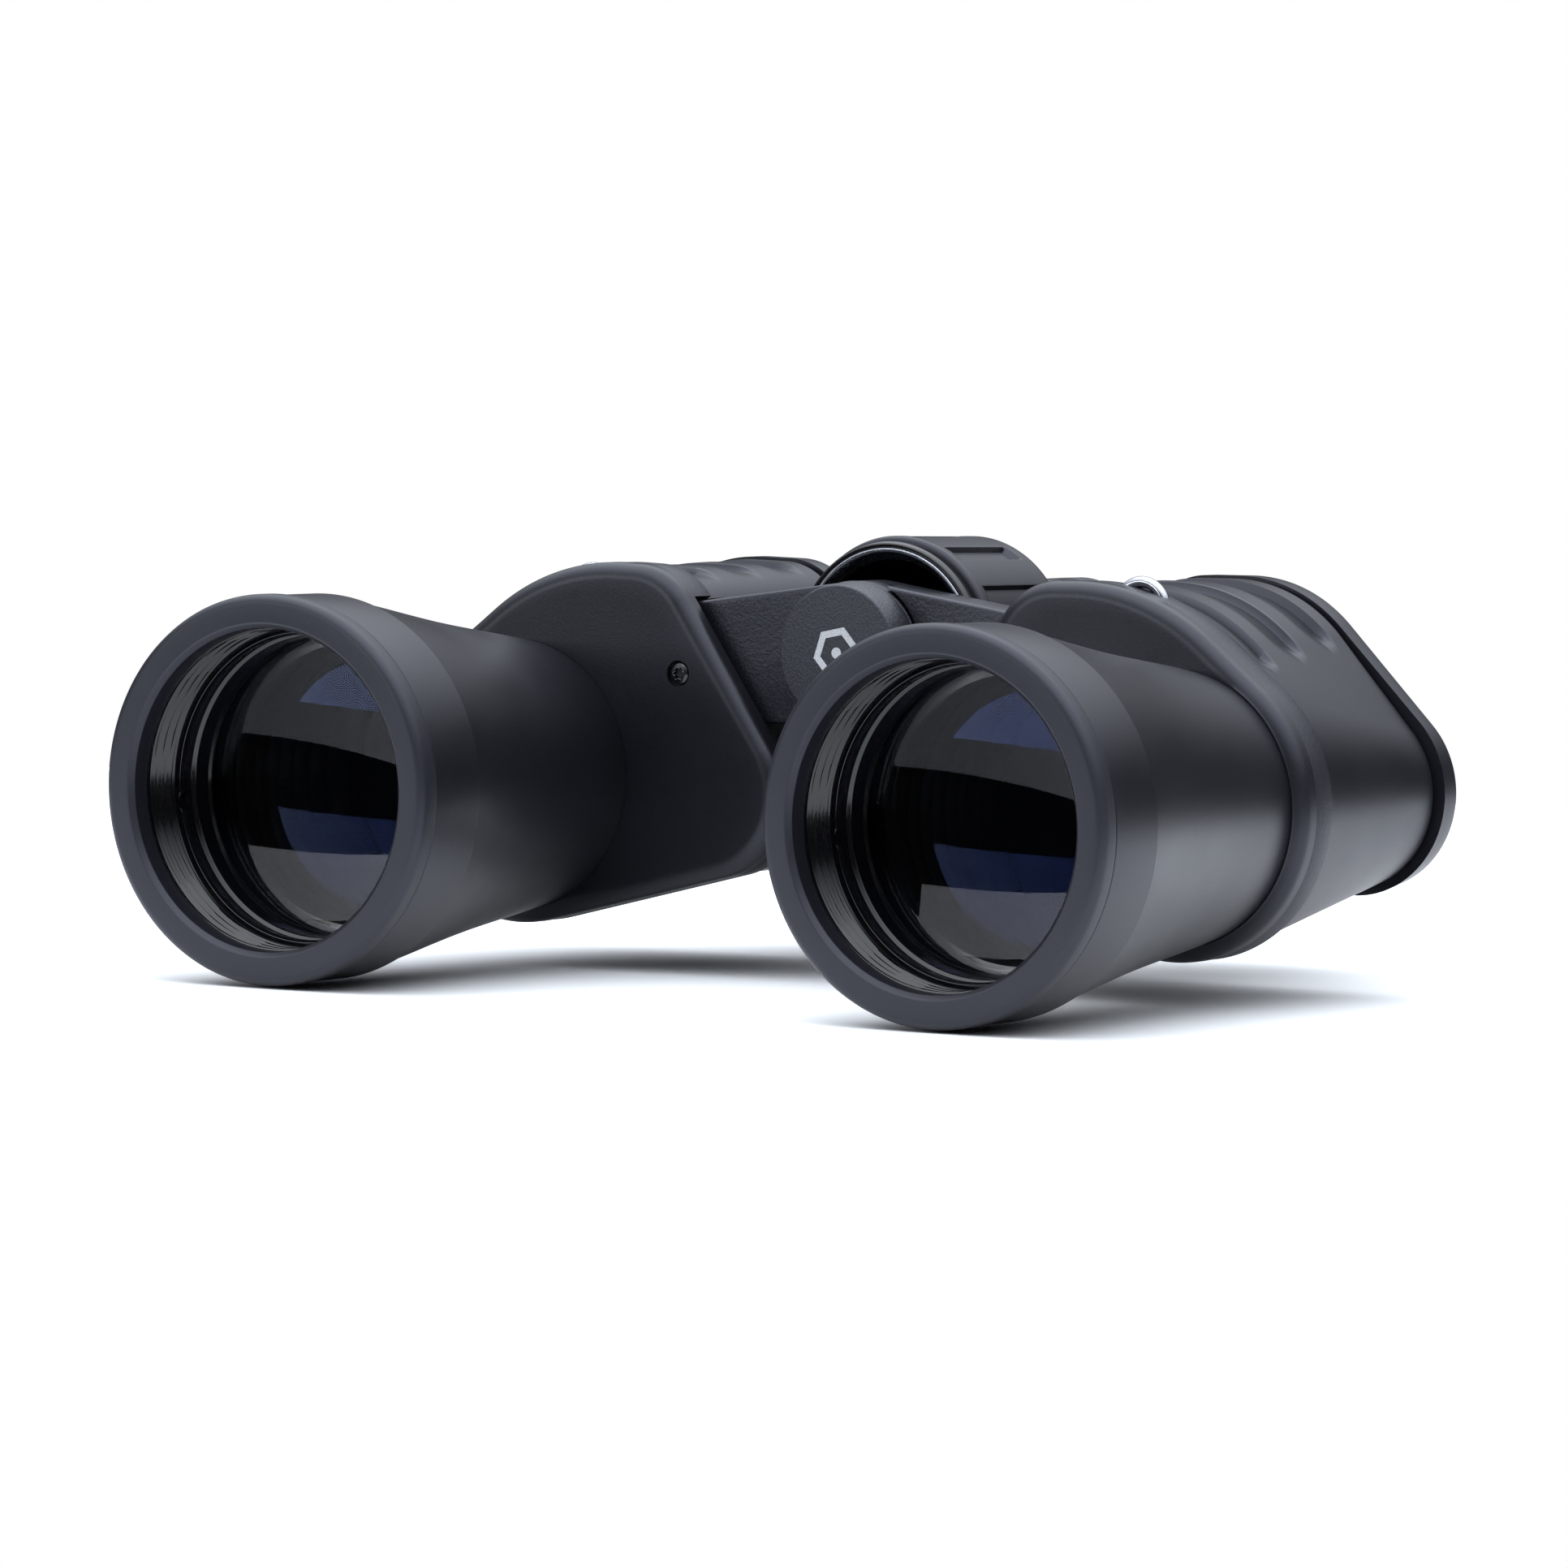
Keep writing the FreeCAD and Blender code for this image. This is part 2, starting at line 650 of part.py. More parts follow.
def central_hinge():
    """Hub cap, hollow axle with its key slots and the retaining nut."""
    turned("hub_cap", [
        ("0", "cap_front"), ("cap_radius - 0.5", "cap_front"), ("cap_radius", "cap_front + 0.5"),
        ("cap_base_radius", "cap_rear - 0.4"), ("cap_base_radius", "cap_rear"),
        ("axle_radius", "cap_rear"), ("axle_radius", "axle_front"), ("0", "axle_front"),
    ])
    turned("axle_nut", [
        ("axle_radius", "chassis_end"), ("8", "chassis_end"), ("8", "axle_rear - 0.8"),
        ("7.2", "axle_rear"), ("axle_radius", "axle_rear"),
    ])
    hinge_z = size("hinge_z")
    bore = size("shaft_radius") + size("running_gap")
    axle = rod(0, hinge_z, size("axle_radius"), size("axle_front"), size("axle_rear"))
    axle = axle.cut(rod(0, hinge_z, bore, size("axle_front") + 2, size("axle_rear") + 1))
    reach = size("focus_travel") + size("pin_radius") + 0.4
    half_width = size("pin_radius") + 0.2
    slot = block((-10, size("pin_station") - reach, hinge_z - half_width),
                 (10, size("pin_station") + reach, hinge_z + half_width))
    shaped("hinge_axle", axle.cut(slot))


def focus_wheel():
    """Wheel core, ribbed rubber grip and bright front ring."""
    groove = "pin_station - focus_travel - pin_radius - 0.6"
    groove_end = "pin_station + focus_travel + pin_radius + 0.6"
    turned("focus_wheel_core", [
        ("axle_radius + running_gap", "wheel_front + 0.4"), ("wheel_hub_radius", "wheel_front + 0.4"),
        ("wheel_hub_radius", "wheel_rear - 7"), ("wheel_tube_bore", "wheel_rear - 7"),
        ("wheel_tube_bore", "grip_start"), ("wheel_tube_radius", "grip_start"),
        ("wheel_tube_radius", "wheel_rear"), ("wheel_tube_bore", "wheel_rear"),
        ("wheel_tube_bore", "wheel_rear - 3.5"), ("wheel_hub_radius", "wheel_rear - 3.5"),
        ("wheel_hub_radius", "wheel_rear"), ("axle_radius + running_gap", "wheel_rear"),
        ("axle_radius + running_gap", groove_end), ("pin_half_length + 0.6", groove_end),
        ("pin_half_length + 0.6", groove), ("axle_radius + running_gap", groove),
    ])
    turned("focus_wheel_ring", [
        ("wheel_tube_bore", "grip_start"), ("wheel_tube_bore", "wheel_front + 1.4"),
        ("wheel_tube_bore + 1.2", "wheel_front", "1.6"), ("wheel_radius - 1.2", "wheel_front + 1.0"),
        ("wheel_radius - 1", "grip_start"),
    ])
    grip = doc.addObject("PartDesign::Body", "focus_wheel_grip")
    sleeve = profile_sketch(grip, "grip_profile", [tuple(bound(t) for t in corner) for corner in [
        ("wheel_tube_radius", "grip_start"), ("wheel_radius - 0.8", "grip_start"),
        ("wheel_radius", "grip_start + 0.8"), ("wheel_rear_radius", "wheel_rear - 0.8"),
        ("wheel_rear_radius - 0.8", "wheel_rear"), ("wheel_tube_radius", "wheel_rear"),
    ]])
    turned_sleeve = grip.newObject("PartDesign::Revolution", "grip_sleeve")
    turned_sleeve.Profile = (sleeve, [""])
    turned_sleeve.ReferenceAxis = (sleeve, ["V_Axis"])
    turned_sleeve.Angle = 360
    grip.Tip = turned_sleeve
    doc.recompute()
    full_volume = grip.Shape.Volume

    # one recessed strip along the wheel, cut inwards from outside and repeated round it
    strip = profile_sketch(grip, "grip_groove", [tuple(bound(t) for t in corner) for corner in [
        ("0 - grip_groove_width / 2", "grip_start + 2.2"), ("grip_groove_width / 2", "grip_start + 2.2"),
        ("grip_groove_width / 2", "wheel_rear - 2.2"), ("0 - grip_groove_width / 2", "wheel_rear - 2.2"),
    ]])
    strip.AttachmentOffset = Placement(Vector(0, 0, size("wheel_radius") + 1), Rotation())
    pocket = grip.newObject("PartDesign::Pocket", "grip_pocket")
    pocket.Profile = (strip, [""])
    pocket.setExpression("Length", "sizes.grip_groove_depth + 1")
    grip.Tip = pocket
    doc.recompute()
    if grip.Shape.Volume >= full_volume:
        pocket.Reversed = True
        doc.recompute()
    pattern = grip.newObject("PartDesign::PolarPattern", "grip_pattern")
    pattern.Originals = [pocket]
    pattern.Axis = (sleeve, ["V_Axis"])
    pattern.Angle = 360
    pattern.Occurrences = int(size("grip_groove_count"))
    grip.Tip = pattern
    place_on_axis(grip, "0", "sizes.hinge_z")
    doc.recompute()
    assert grip.Shape.Volume < full_volume, "the grip's strips cut nothing"
    keep("focus_wheel_grip", grip)


def ocular_bridge():
    """Focus shaft, its cross pin, the two ocular arms and the rear hub cap."""
    hinge_z = size("hinge_z")
    start = size("bridge_front")
    end = size("bridge_rear")
    hub_radius = size("bridge_hub_radius")
    shaft = rod(0, hinge_z, size("shaft_radius"), size("shaft_front"), end + 3.0)
    cross = Part.makeCylinder(size("pin_radius"), 2 * size("pin_half_length"),
                              Vector(-size("pin_half_length"), front_y() + size("pin_station"), hinge_z),
                              Vector(1, 0, 0))
    shaped("focus_shaft", shaft.cut(cross))
    pin = doc.addObject("Part::Cylinder", "drive_pin")
    pin.setExpression("Radius", "sizes.pin_radius")
    pin.setExpression("Height", "2 * sizes.pin_half_length")
    pin.Placement = Placement(Vector(-size("pin_half_length"), front_y() + size("pin_station"), hinge_z),
                              Rotation(Vector(0, 1, 0), 90))
    keep("drive_pin", pin)
    for name, side in SIDES:
        web = hull_plate([(0, hinge_z, 7.0), (size("eyepiece_x"), size("eyepiece_z"), 12.0)],
                         start, end, side)
        eyepiece_x = side * size("eyepiece_x")
        ring = rod(eyepiece_x, size("eyepiece_z"), size("ocular_ring_radius"), start, end)
        disc = rod(0, hinge_z, hub_radius, start, end)
        arm = disc.fuse([web, ring]).removeSplitter()
        shaft_bore = size("shaft_radius") + (0 if side > 0 else size("running_gap"))
        arm = knuckled(arm, side, start, end, hub_radius, hub_radius + 0.5, shaft_bore, hinge_z)
        ring_bore = size("ocular_barrel_radius") + (size("running_gap") if side > 0 else 0)
        arm = arm.cut(rod(eyepiece_x, size("eyepiece_z"), ring_bore, start - 1, end + 1))
        shaped(name + "_ocular_arm", arm)
    turned("bridge_cap", [
        ("shaft_radius", "bridge_rear + 0.3"), ("bridge_hub_radius", "bridge_rear + 0.3"),
        ("bridge_hub_radius", "bridge_cap_rear - 3", "3"), ("bridge_hub_radius - 3", "bridge_cap_rear"),
        ("0", "bridge_cap_rear"), ("0", "bridge_rear + 3"), ("shaft_radius", "bridge_rear + 3"),
    ])


def eyepiece(name, side):
    """Ocular tube, field lens, eye lens and fold-down eyecup of one side."""
    x, z = eyepiece_axis(side)
    front = "bridge_front - 24"
    if side > 0:
        collar = [("ocular_barrel_radius", "ocular_flange_start")]
    else:
        collar = [("ocular_barrel_radius", "bridge_rear"), ("dioptre_radius", "bridge_rear"),
                  ("dioptre_radius", "dioptre_end"), ("ocular_barrel_radius", "dioptre_end"),
                  ("ocular_barrel_radius", "ocular_flange_start")]
    turned(name + "_eyepiece_tube", [
        ("ocular_slide_bore", front), ("ocular_slide_radius", front),
        ("ocular_slide_radius", "bridge_front"), ("ocular_barrel_radius", "bridge_front"),
    ] + collar + [
        ("ocular_flange_radius", "ocular_flange_start"), ("ocular_flange_radius", "eyecup_start + 12"),
        ("eye_end_bore", "eyecup_start + 12"), ("eye_end_bore", "eyecup_start + 11"),
        ("eye_lens_radius", "eyecup_start + 11"), ("eye_lens_radius", "eyecup_start + 5"),
        ("eye_stop_radius", "eyecup_start + 5"), ("eye_stop_radius", "bridge_front + 2"),
        ("ocular_slide_bore", "bridge_front + 2"),
    ], x, z)
    turned(name + "_field_lens", [
        ("0", "bridge_front - 3.4 - " + dome("field_curve", "ocular_slide_bore"), "field_curve"),
        ("ocular_slide_bore", "bridge_front - 3.4"),
        ("ocular_slide_bore", "bridge_front + 2"), ("0", "bridge_front + 2"),
    ], x, z)
    turned(name + "_eye_lens", [
        ("0", "eyecup_start + 5"), ("eye_lens_radius", "eyecup_start + 5"),
        ("eye_lens_radius", "eyecup_start + 9", "eye_curve"),
        ("0", "eyecup_start + 9 + " + dome("eye_curve", "eye_lens_radius")),
    ], x, z)
    turned(name + "_eyecup", [
        ("ocular_flange_radius", "eyecup_start"), ("eyecup_radius - 0.6", "eyecup_start"),
        ("eyecup_radius", "eyecup_start + 0.6"), ("eyecup_radius", "eyecup_start + 2.4"),
        ("eyecup_radius - 0.6", "eyecup_start + 3"), ("eyecup_radius - 0.6", "eyecup_start + 6.4"),
        ("eyecup_radius", "eyecup_start + 7"),
        ("eyecup_radius", "total_length - 2.2"), ("eyecup_radius - 0.8", "total_length - 0.5"),
        ("eyecup_radius - 2", "total_length"), ("eyecup_radius - 3.2", "total_length - 0.6"),
        ("eyecup_radius - 3", "eyecup_start + 13"), ("eye_end_bore", "eyecup_start + 12"),
        ("ocular_flange_radius", "eyecup_start + 12"),
    ], x, z)


for side_name, side_sign in SIDES:
    objective_end(side_name, side_sign)
    prism_housing(side_name, side_sign)
    eyepiece(side_name, side_sign)
central_hinge()
focus_wheel()
ocular_bridge()
turned("dioptre_ring", [
    ("ocular_barrel_radius + running_gap", "dioptre_start"), ("dioptre_radius - 0.5", "dioptre_start"),
    ("dioptre_radius", "dioptre_start + 0.5"), ("dioptre_radius", "dioptre_end - 0.5"),
    ("dioptre_radius - 0.5", "dioptre_end"), ("ocular_barrel_radius + running_gap", "dioptre_end"),
], *eyepiece_axis(1))

doc.recompute()

for made in doc.Objects:
    faults = [state for state in made.State if state in ("Invalid", "Error")]
    assert not faults, "%s is in state %s" % (made.Label, faults)

os.makedirs("parts", exist_ok=True)
for label, made in nodes.items():
    shape = made.Shape
    assert not shape.isNull() and shape.isValid(), label + " has no valid shape"
    assert shape.Solids, label + " holds no solid"
    shape.exportStep("parts/%s.step" % label)
print(len(nodes), "sub-parts written")
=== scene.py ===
"""Looks of the Porro-prism binoculars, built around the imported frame.

Piece geometry is given in millimetres as (x, station, z) in the frame's own axes, where a
station is a distance behind the front face of the objective rims.  Blender's own units are
metres, so every mesh is scaled once, when it is made.
"""

import math

import bmesh
import bpy
from mathutils import Matrix, Vector


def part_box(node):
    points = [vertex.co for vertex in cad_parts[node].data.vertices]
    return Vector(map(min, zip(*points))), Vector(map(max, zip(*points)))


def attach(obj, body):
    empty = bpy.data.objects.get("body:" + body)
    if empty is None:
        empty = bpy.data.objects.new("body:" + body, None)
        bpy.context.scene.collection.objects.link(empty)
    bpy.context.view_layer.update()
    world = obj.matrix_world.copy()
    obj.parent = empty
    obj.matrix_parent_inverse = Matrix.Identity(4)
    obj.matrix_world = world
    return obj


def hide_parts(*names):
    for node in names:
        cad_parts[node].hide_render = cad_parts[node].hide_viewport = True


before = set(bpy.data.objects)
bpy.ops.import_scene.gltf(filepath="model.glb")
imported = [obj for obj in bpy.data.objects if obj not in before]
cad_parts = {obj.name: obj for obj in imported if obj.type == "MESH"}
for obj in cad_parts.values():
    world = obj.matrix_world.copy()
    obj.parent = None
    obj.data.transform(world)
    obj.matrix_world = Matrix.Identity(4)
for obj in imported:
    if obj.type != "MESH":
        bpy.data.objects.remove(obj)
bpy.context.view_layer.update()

MM = 0.001
SIDES = (("right", 1), ("left", -1))
RIM_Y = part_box("right_front_ring")[0].y


def axis_of(node):
    """X and Z, in millimetres, of the middle of a node's box."""
    low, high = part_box(node)
    return (low.x + high.x) / 2 / MM, (low.z + high.z) / 2 / MM


def station_of(node, end):
    """Station of a node's front (end 0) or rear (end 1) face."""
    return (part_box(node)[end].y - RIM_Y) / MM


HINGE = axis_of("hinge_axle")
OBJECTIVE = {name: axis_of(name + "_front_ring") for name, _ in SIDES}
EYEPIECE = {name: axis_of(name + "_eyepiece_tube") for name, _ in SIDES}
OBJECTIVE_Z = OBJECTIVE["right"][1]

COVER_FRONT = station_of("right_front_cover", 0)
COVER_REAR = station_of("right_front_cover", 1)
CHASSIS_END = station_of("right_chassis", 1)
REAR_FACE = station_of("right_rear_cover", 1)
ARMOUR_END = station_of("right_armour", 1)
BRIDGE_FRONT = station_of("left_ocular_arm", 0)
BRIDGE_REAR = station_of("left_ocular_arm", 1)
CUP_FRONT = station_of("right_eyecup", 0)
CUP_REAR = station_of("right_eyecup", 1)
WHEEL_REAR = station_of("focus_wheel_grip", 1)
GRIP_FRONT = station_of("focus_wheel_grip", 0)


# ------------------------------------------------------------------- materials

def node_material(name):
    """An empty node material and its Principled shader."""
    made = bpy.data.materials.new(name)
    made.use_nodes = True
    return made, made.node_tree.nodes["Principled BSDF"]


def noise(tree, size_mm, detail=3.0, stretch=(1, 1, 1)):
    """Noise in object coordinates with features about size_mm across."""
    place = tree.nodes.new("ShaderNodeTexCoord")
    scaled = tree.nodes.new("ShaderNodeMapping")
    scaled.inputs["Scale"].default_value = stretch
    texture = tree.nodes.new("ShaderNodeTexNoise")
    texture.inputs["Scale"].default_value = 1 / (size_mm * MM)
    texture.inputs["Detail"].default_value = detail
    tree.links.new(place.outputs["Object"], scaled.inputs["Vector"])
    tree.links.new(scaled.outputs["Vector"], texture.inputs["Vector"])
    return texture.outputs["Fac"]


def remap(tree, value, low, high, out_low, out_high):
    """Value stretched from low..high to out_low..out_high, clamped."""
    node = tree.nodes.new("ShaderNodeMapRange")
    for socket, number in zip(("From Min", "From Max", "To Min", "To Max"),
                              (low, high, out_low, out_high)):
        node.inputs[socket].default_value = number
    tree.links.new(value, node.inputs["Value"])
    return node.outputs["Result"]


def blend_colours(tree, share, first, second):
    """Colour between two plain colours."""
    node = tree.nodes.new("ShaderNodeMix")
    node.data_type = "RGBA"
    node.inputs[6].default_value = (*first, 1)
    node.inputs[7].default_value = (*second, 1)
    tree.links.new(share, node.inputs[0])
    return node.outputs[2]


def bump(tree, shader, heights):
    """Chain of bumps: (height source, height in millimetres)."""
    normal = None
    for height, depth in heights:
        node = tree.nodes.new("ShaderNodeBump")
        node.inputs["Distance"].default_value = depth * MM
        tree.links.new(height, node.inputs["Height"])
        if normal is not None:
            tree.links.new(normal, node.inputs["Normal"])
        normal = node.outputs["Normal"]
    tree.links.new(normal, shader.inputs["Normal"])


def moulded(name, dark, light, roughness, grain_mm, grain_depth, smudge=0.025):
    """Moulded or painted surface: grained, faintly mottled and slightly unevenly worn."""
    made, shader = node_material(name)
    tree = made.node_tree
    grain = noise(tree, grain_mm, 2.0)
    speck = noise(tree, grain_mm * 0.45, 1.0)
    cloud = noise(tree, 14.0, 4.0)
    share = remap(tree, speck, 0.35, 0.72, 0.0, 1.0)
    tree.links.new(blend_colours(tree, share, dark, light), shader.inputs["Base Color"])
    tree.links.new(remap(tree, cloud, 0.3, 0.7, roughness - smudge, roughness + smudge),
                   shader.inputs["Roughness"])
    shader.inputs["Specular Tint"].default_value = (0.86, 0.88, 1, 1)
    bump(tree, shader, [(grain, grain_depth), (speck, grain_depth * 0.5)])
    return made


def machined(name, colour, roughness, line_mm, depth, metallic=0.0):
    """Turned surface: fine tool lines round its axis, with bright flecks."""
    made, shader = node_material(name)
    tree = made.node_tree
    lines = noise(tree, line_mm * 8, 2.0, (1, 8, 1))
    flecks = noise(tree, 0.3, 2.0)
    shade = remap(tree, flecks, 0.45, 0.75, 0.0, 1.0)
    lighter = tuple(min(1, c * 1.6 + 0.004) for c in colour)
    tree.links.new(blend_colours(tree, shade, colour, lighter), shader.inputs["Base Color"])
    tree.links.new(remap(tree, lines, 0.3, 0.7, roughness * 0.7, roughness * 1.4),
                   shader.inputs["Roughness"])
    shader.inputs["Metallic"].default_value = metallic
    bump(tree, shader, [(lines, depth), (flecks, depth * 0.6)])
    return made


def glass(name, reflection, ior=1.52, body=(1, 1, 1)):
    """Coated optical glass that lets lamps through, with the coating's reflection colour."""
    made, shader = node_material(name)
    tree = made.node_tree
    haze = remap(tree, noise(tree, 9.0, 3.0), 0.35, 0.75, 0.0, 0.006)
    tree.links.new(haze, shader.inputs["Roughness"])
    shader.inputs["Base Color"].default_value = (*body, 1)
    shader.inputs["Transmission Weight"].default_value = 1.0
    shader.inputs["IOR"].default_value = ior
    shader.inputs["Specular Tint"].default_value = (*reflection, 1)
    paths = tree.nodes.new("ShaderNodeLightPath")
    clear = tree.nodes.new("ShaderNodeBsdfTransparent")
    mix = tree.nodes.new("ShaderNodeMixShader")
    output = tree.nodes["Material Output"]
    tree.links.new(paths.outputs["Is Shadow Ray"], mix.inputs[0])
    tree.links.new(shader.outputs[0], mix.inputs[1])
    tree.links.new(clear.outputs[0], mix.inputs[2])
    tree.links.new(mix.outputs[0], output.inputs["Surface"])
    return made


RUBBER = moulded("soft_touch_rubber", (0.0046, 0.0045, 0.0066), (0.0088, 0.0088, 0.0120), 0.35, 0.5, 0.012)
# The bumper rings get the soft rubber made lighter: painted light, standing in for the light on the rims'
# front faces.
RIM_RUBBER_PAINTED_LIGHT = moulded("rim_rubber_painted_light", (0.0085, 0.0085, 0.0120), (0.0130, 0.0132, 0.0185), 0.42, 0.4, 0.012)
STRIP_RUBBER = moulded("strip_rubber", (0.0050, 0.0050, 0.0075), (0.0140, 0.0142, 0.0190), 0.44, 0.7, 0.04)
GRIP_RUBBER = moulded("grip_rubber", (0.0036, 0.0036, 0.0054), (0.0080, 0.0082, 0.0115), 0.38, 0.6, 0.012)
CUP_RUBBER = moulded("eyecup_rubber", (0.0050, 0.0050, 0.0060), (0.0105, 0.0105, 0.0125), 0.52, 0.6, 0.02)
GRAINED = moulded("grained_plastic", (0.0036, 0.0036, 0.0056), (0.0140, 0.0142, 0.0200), 0.36, 0.55, 0.06)
CAP_GRAIN = moulded("cap_sand_grain", (0.0070, 0.0070, 0.0095), (0.0480, 0.0490, 0.0560), 0.40, 0.42, 0.08)
CASTING = moulded("casting_paint", (0.0050, 0.0050, 0.0072), (0.0105, 0.0107, 0.0145), 0.36, 0.8, 0.03)
GLOSS = machined("gloss_black", (0.002, 0.002, 0.003), 0.12, 0.15, 0.001)
THREAD = machined("thread_black", (0.002, 0.002, 0.003), 0.14, 0.12, 0.003)
BAFFLE = machined("baffle_black", (0.0015, 0.0015, 0.002), 0.16, 0.6, 0.0)
CHROME = machined("bright_chrome", (0.36, 0.37, 0.40), 0.10, 0.3, 0.0004, 1.0)
BEVEL_CHROME = machined("wheel_bevel_chrome", (0.30, 0.31, 0.34), 0.26, 0.3, 0.003, 1.0)
STEEL = machined("blackened_steel", (0.050, 0.050, 0.055), 0.28, 0.2, 0.006, 1.0)
ANODISED = machined("black_anodised", (0.022, 0.022, 0.026), 0.32, 0.2, 0.004, 0.6)
PRINT = moulded("silver_print", (0.42, 0.43, 0.45), (0.62, 0.63, 0.66), 0.45, 0.4, 0.05)
TICKS = moulded("white_print", (0.55, 0.55, 0.54), (0.75, 0.75, 0.74), 0.5, 0.4, 0.02)
FRONT_GLASS = glass("front_lens_glass", (0.020, 0.065, 0.26))
REAR_GLASS = glass("rear_lens_glass", (0.27, 0.27, 0.29))
EYE_GLASS = glass("eye_lens_glass", (0.10, 0.30, 0.22))
PRISM_GLASS = glass("prism_glass", (0.6, 0.6, 0.6), body=(0.92, 0.96, 0.95))


# -------------------------------------------------------------- mesh building

def new_object(name, points, faces):
    """A mesh object from points in millimetres, with its normals facing out."""
    mesh = bpy.data.meshes.new(name)
    mesh.from_pydata([(x * MM, RIM_Y + y * MM, z * MM) for x, y, z in points], [], faces)
    shape = bmesh.new()
    shape.from_mesh(mesh)
    bmesh.ops.remove_doubles(shape, verts=shape.verts, dist=1e-7)
    bmesh.ops.recalc_face_normals(shape, faces=shape.faces)
    shape.to_mesh(mesh)
    shape.free()
    made = bpy.data.objects.new(name, mesh)
    bpy.context.scene.collection.objects.link(made)
    return made


def applied(made):
    """Turn an object's modifiers into its mesh."""
    bpy.context.view_layer.update()
    seen = made.evaluated_get(bpy.context.evaluated_depsgraph_get())
    mesh = bpy.data.meshes.new_from_object(seen)
    made.modifiers.clear()
    made.data = mesh
    return made


def combine(made, other, operation="DIFFERENCE"):
    """Cut other away from an object, or unite the two; other is used up."""
    modifier = made.modifiers.new("combine", "BOOLEAN")
    modifier.operation = operation
    modifier.solver = "EXACT"
    modifier.object = other
    applied(made)
    bpy.data.objects.remove(other)
    return made


def bevelled(made, width_mm, segments=3):
    """Round an object's sharp edges."""
    modifier = made.modifiers.new("bevel", "BEVEL")
    modifier.width = width_mm * MM
    modifier.segments = segments
    modifier.limit_method = "ANGLE"
    modifier.angle_limit = math.radians(40)
    return applied(made)


def piece(made, materials, body, slot, *replaced, sharp=38):
    """Shade an object, give it its materials and hand it to the frame."""
    made.data.materials.clear()
    for material in materials if isinstance(materials, tuple) else (materials,):
        made.data.materials.append(material)
    made.data.shade_smooth()
    made.data.set_sharp_from_angle(angle=math.radians(sharp))
    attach(made, body)
    if replaced:
        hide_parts(*replaced)
    return made


def rounded(profile, steps=6):
    """Profile of (radius, station[, rounding]) corners with its roundings as arcs."""
    points = []
    for index, corner in enumerate(profile):
        here = Vector(corner[:2])
        if len(corner) < 3:
            points.append(tuple(here))
            continue
        before = (Vector(profile[index - 1][:2]) - here).normalized()
        after = (Vector(profile[(index + 1) % len(profile)][:2]) - here).normalized()
        half = before.angle(after) / 2
        reach = corner[2] / math.tan(half)
        centre = here + (before + after).normalized() * corner[2] / math.sin(half)
        first = here + before * reach - centre
        last = here + after * reach - centre
        turn = first.angle_signed(last)
        for step in range(steps + 1):
            offset = first.copy()
            offset.rotate(Matrix.Rotation(-turn * step / steps, 2))
            points.append(tuple(centre + offset))
    return points


def ring_mesh(name, rings):
    """Closed mesh through rings of equally many points; a ring of one point is a pole."""
    points = [point for ring in rings for point in ring]
    starts = []
    count = 0
    for ring in rings:
        starts.append(count)
        count += len(ring)
    faces = []
    for index, ring in enumerate(rings):
        following = (index + 1) % len(rings)
        a, b = starts[index], starts[following]
        here, there = len(ring), len(rings[following])
        for k in range(max(here, there)):
            after = (k + 1) % max(here, there)
            if here == 1 and there > 1:
                faces.append((a, b + k, b + after))
            elif there == 1 and here > 1:
                faces.append((a + k, b, a + after))
            elif here > 1:
                faces.append((a + k, b + k, b + after, a + after))
    return new_object(name, points, faces)


def turned(name, profile, axis, segments=192, shape=None):
    """Solid of a closed (radius, station) profile turned round an axis along Y.

    shape(radius, station, angle) may change the radius with the angle.
    """
    rings = []
    for radius, station in profile:
        if radius < 1e-6:
            rings.append([(axis[0], station, axis[1])])
            continue
        ring = []
        for k in range(segments):
            angle = 2 * math.pi * k / segments
            r = shape(radius, station, angle) if shape else radius
            ring.append((axis[0] + r * math.cos(angle), station, axis[1] + r * math.sin(angle)))
        rings.append(ring)
    return ring_mesh(name, rings)


def dome(radius, rim_station, curve, steps=16):
    """Points of a spherical face from the axis out to its rim; curve > 0 bulges to the rear."""
    rim_rise = abs(curve) - math.sqrt(curve * curve - radius * radius)
    points = []
    for step in range(steps + 1):
        r = radius * step / steps
        rise = abs(curve) - math.sqrt(curve * curve - r * r)
        points.append((r, rim_station + math.copysign(rise - rim_rise, curve)))
    return points


def smooth_step(low, high, value):
    """0 below low, 1 above high, with a smooth change between."""
    share = min(max((value - low) / (high - low), 0.0), 1.0)
    return share * share * (3 - 2 * share)


# ------------------------------------------------------------- housing outline
# The housing's cross-section is four arcs joined by tangents: barrel end, sloping
# shoulder, crown and inner nose, as (x, height over the objective axis, radius), in front
# and at the rear.

FRONT_ARCS = ((62.5, 0.0, 24.4), (43.9, -4.0, 39.0), (40.2, 22.9, 12.0), (25.5, -1.5, 14.0))
REAR_ARCS = ((69.3, 1.0, 15.5), (47.0, 9.8, 25.0), (40.2, 22.7, 12.0), (25.5, -1.5, 14.0))
ARC_STEPS = (60, 36, 36, 48)
LINE_STEPS = (24, 12, 24, 24)
STRIP_END = 79.2
BARREL_TAPER = 1.4
BARREL, SHOULDER, CROWN, NOSE = range(4)


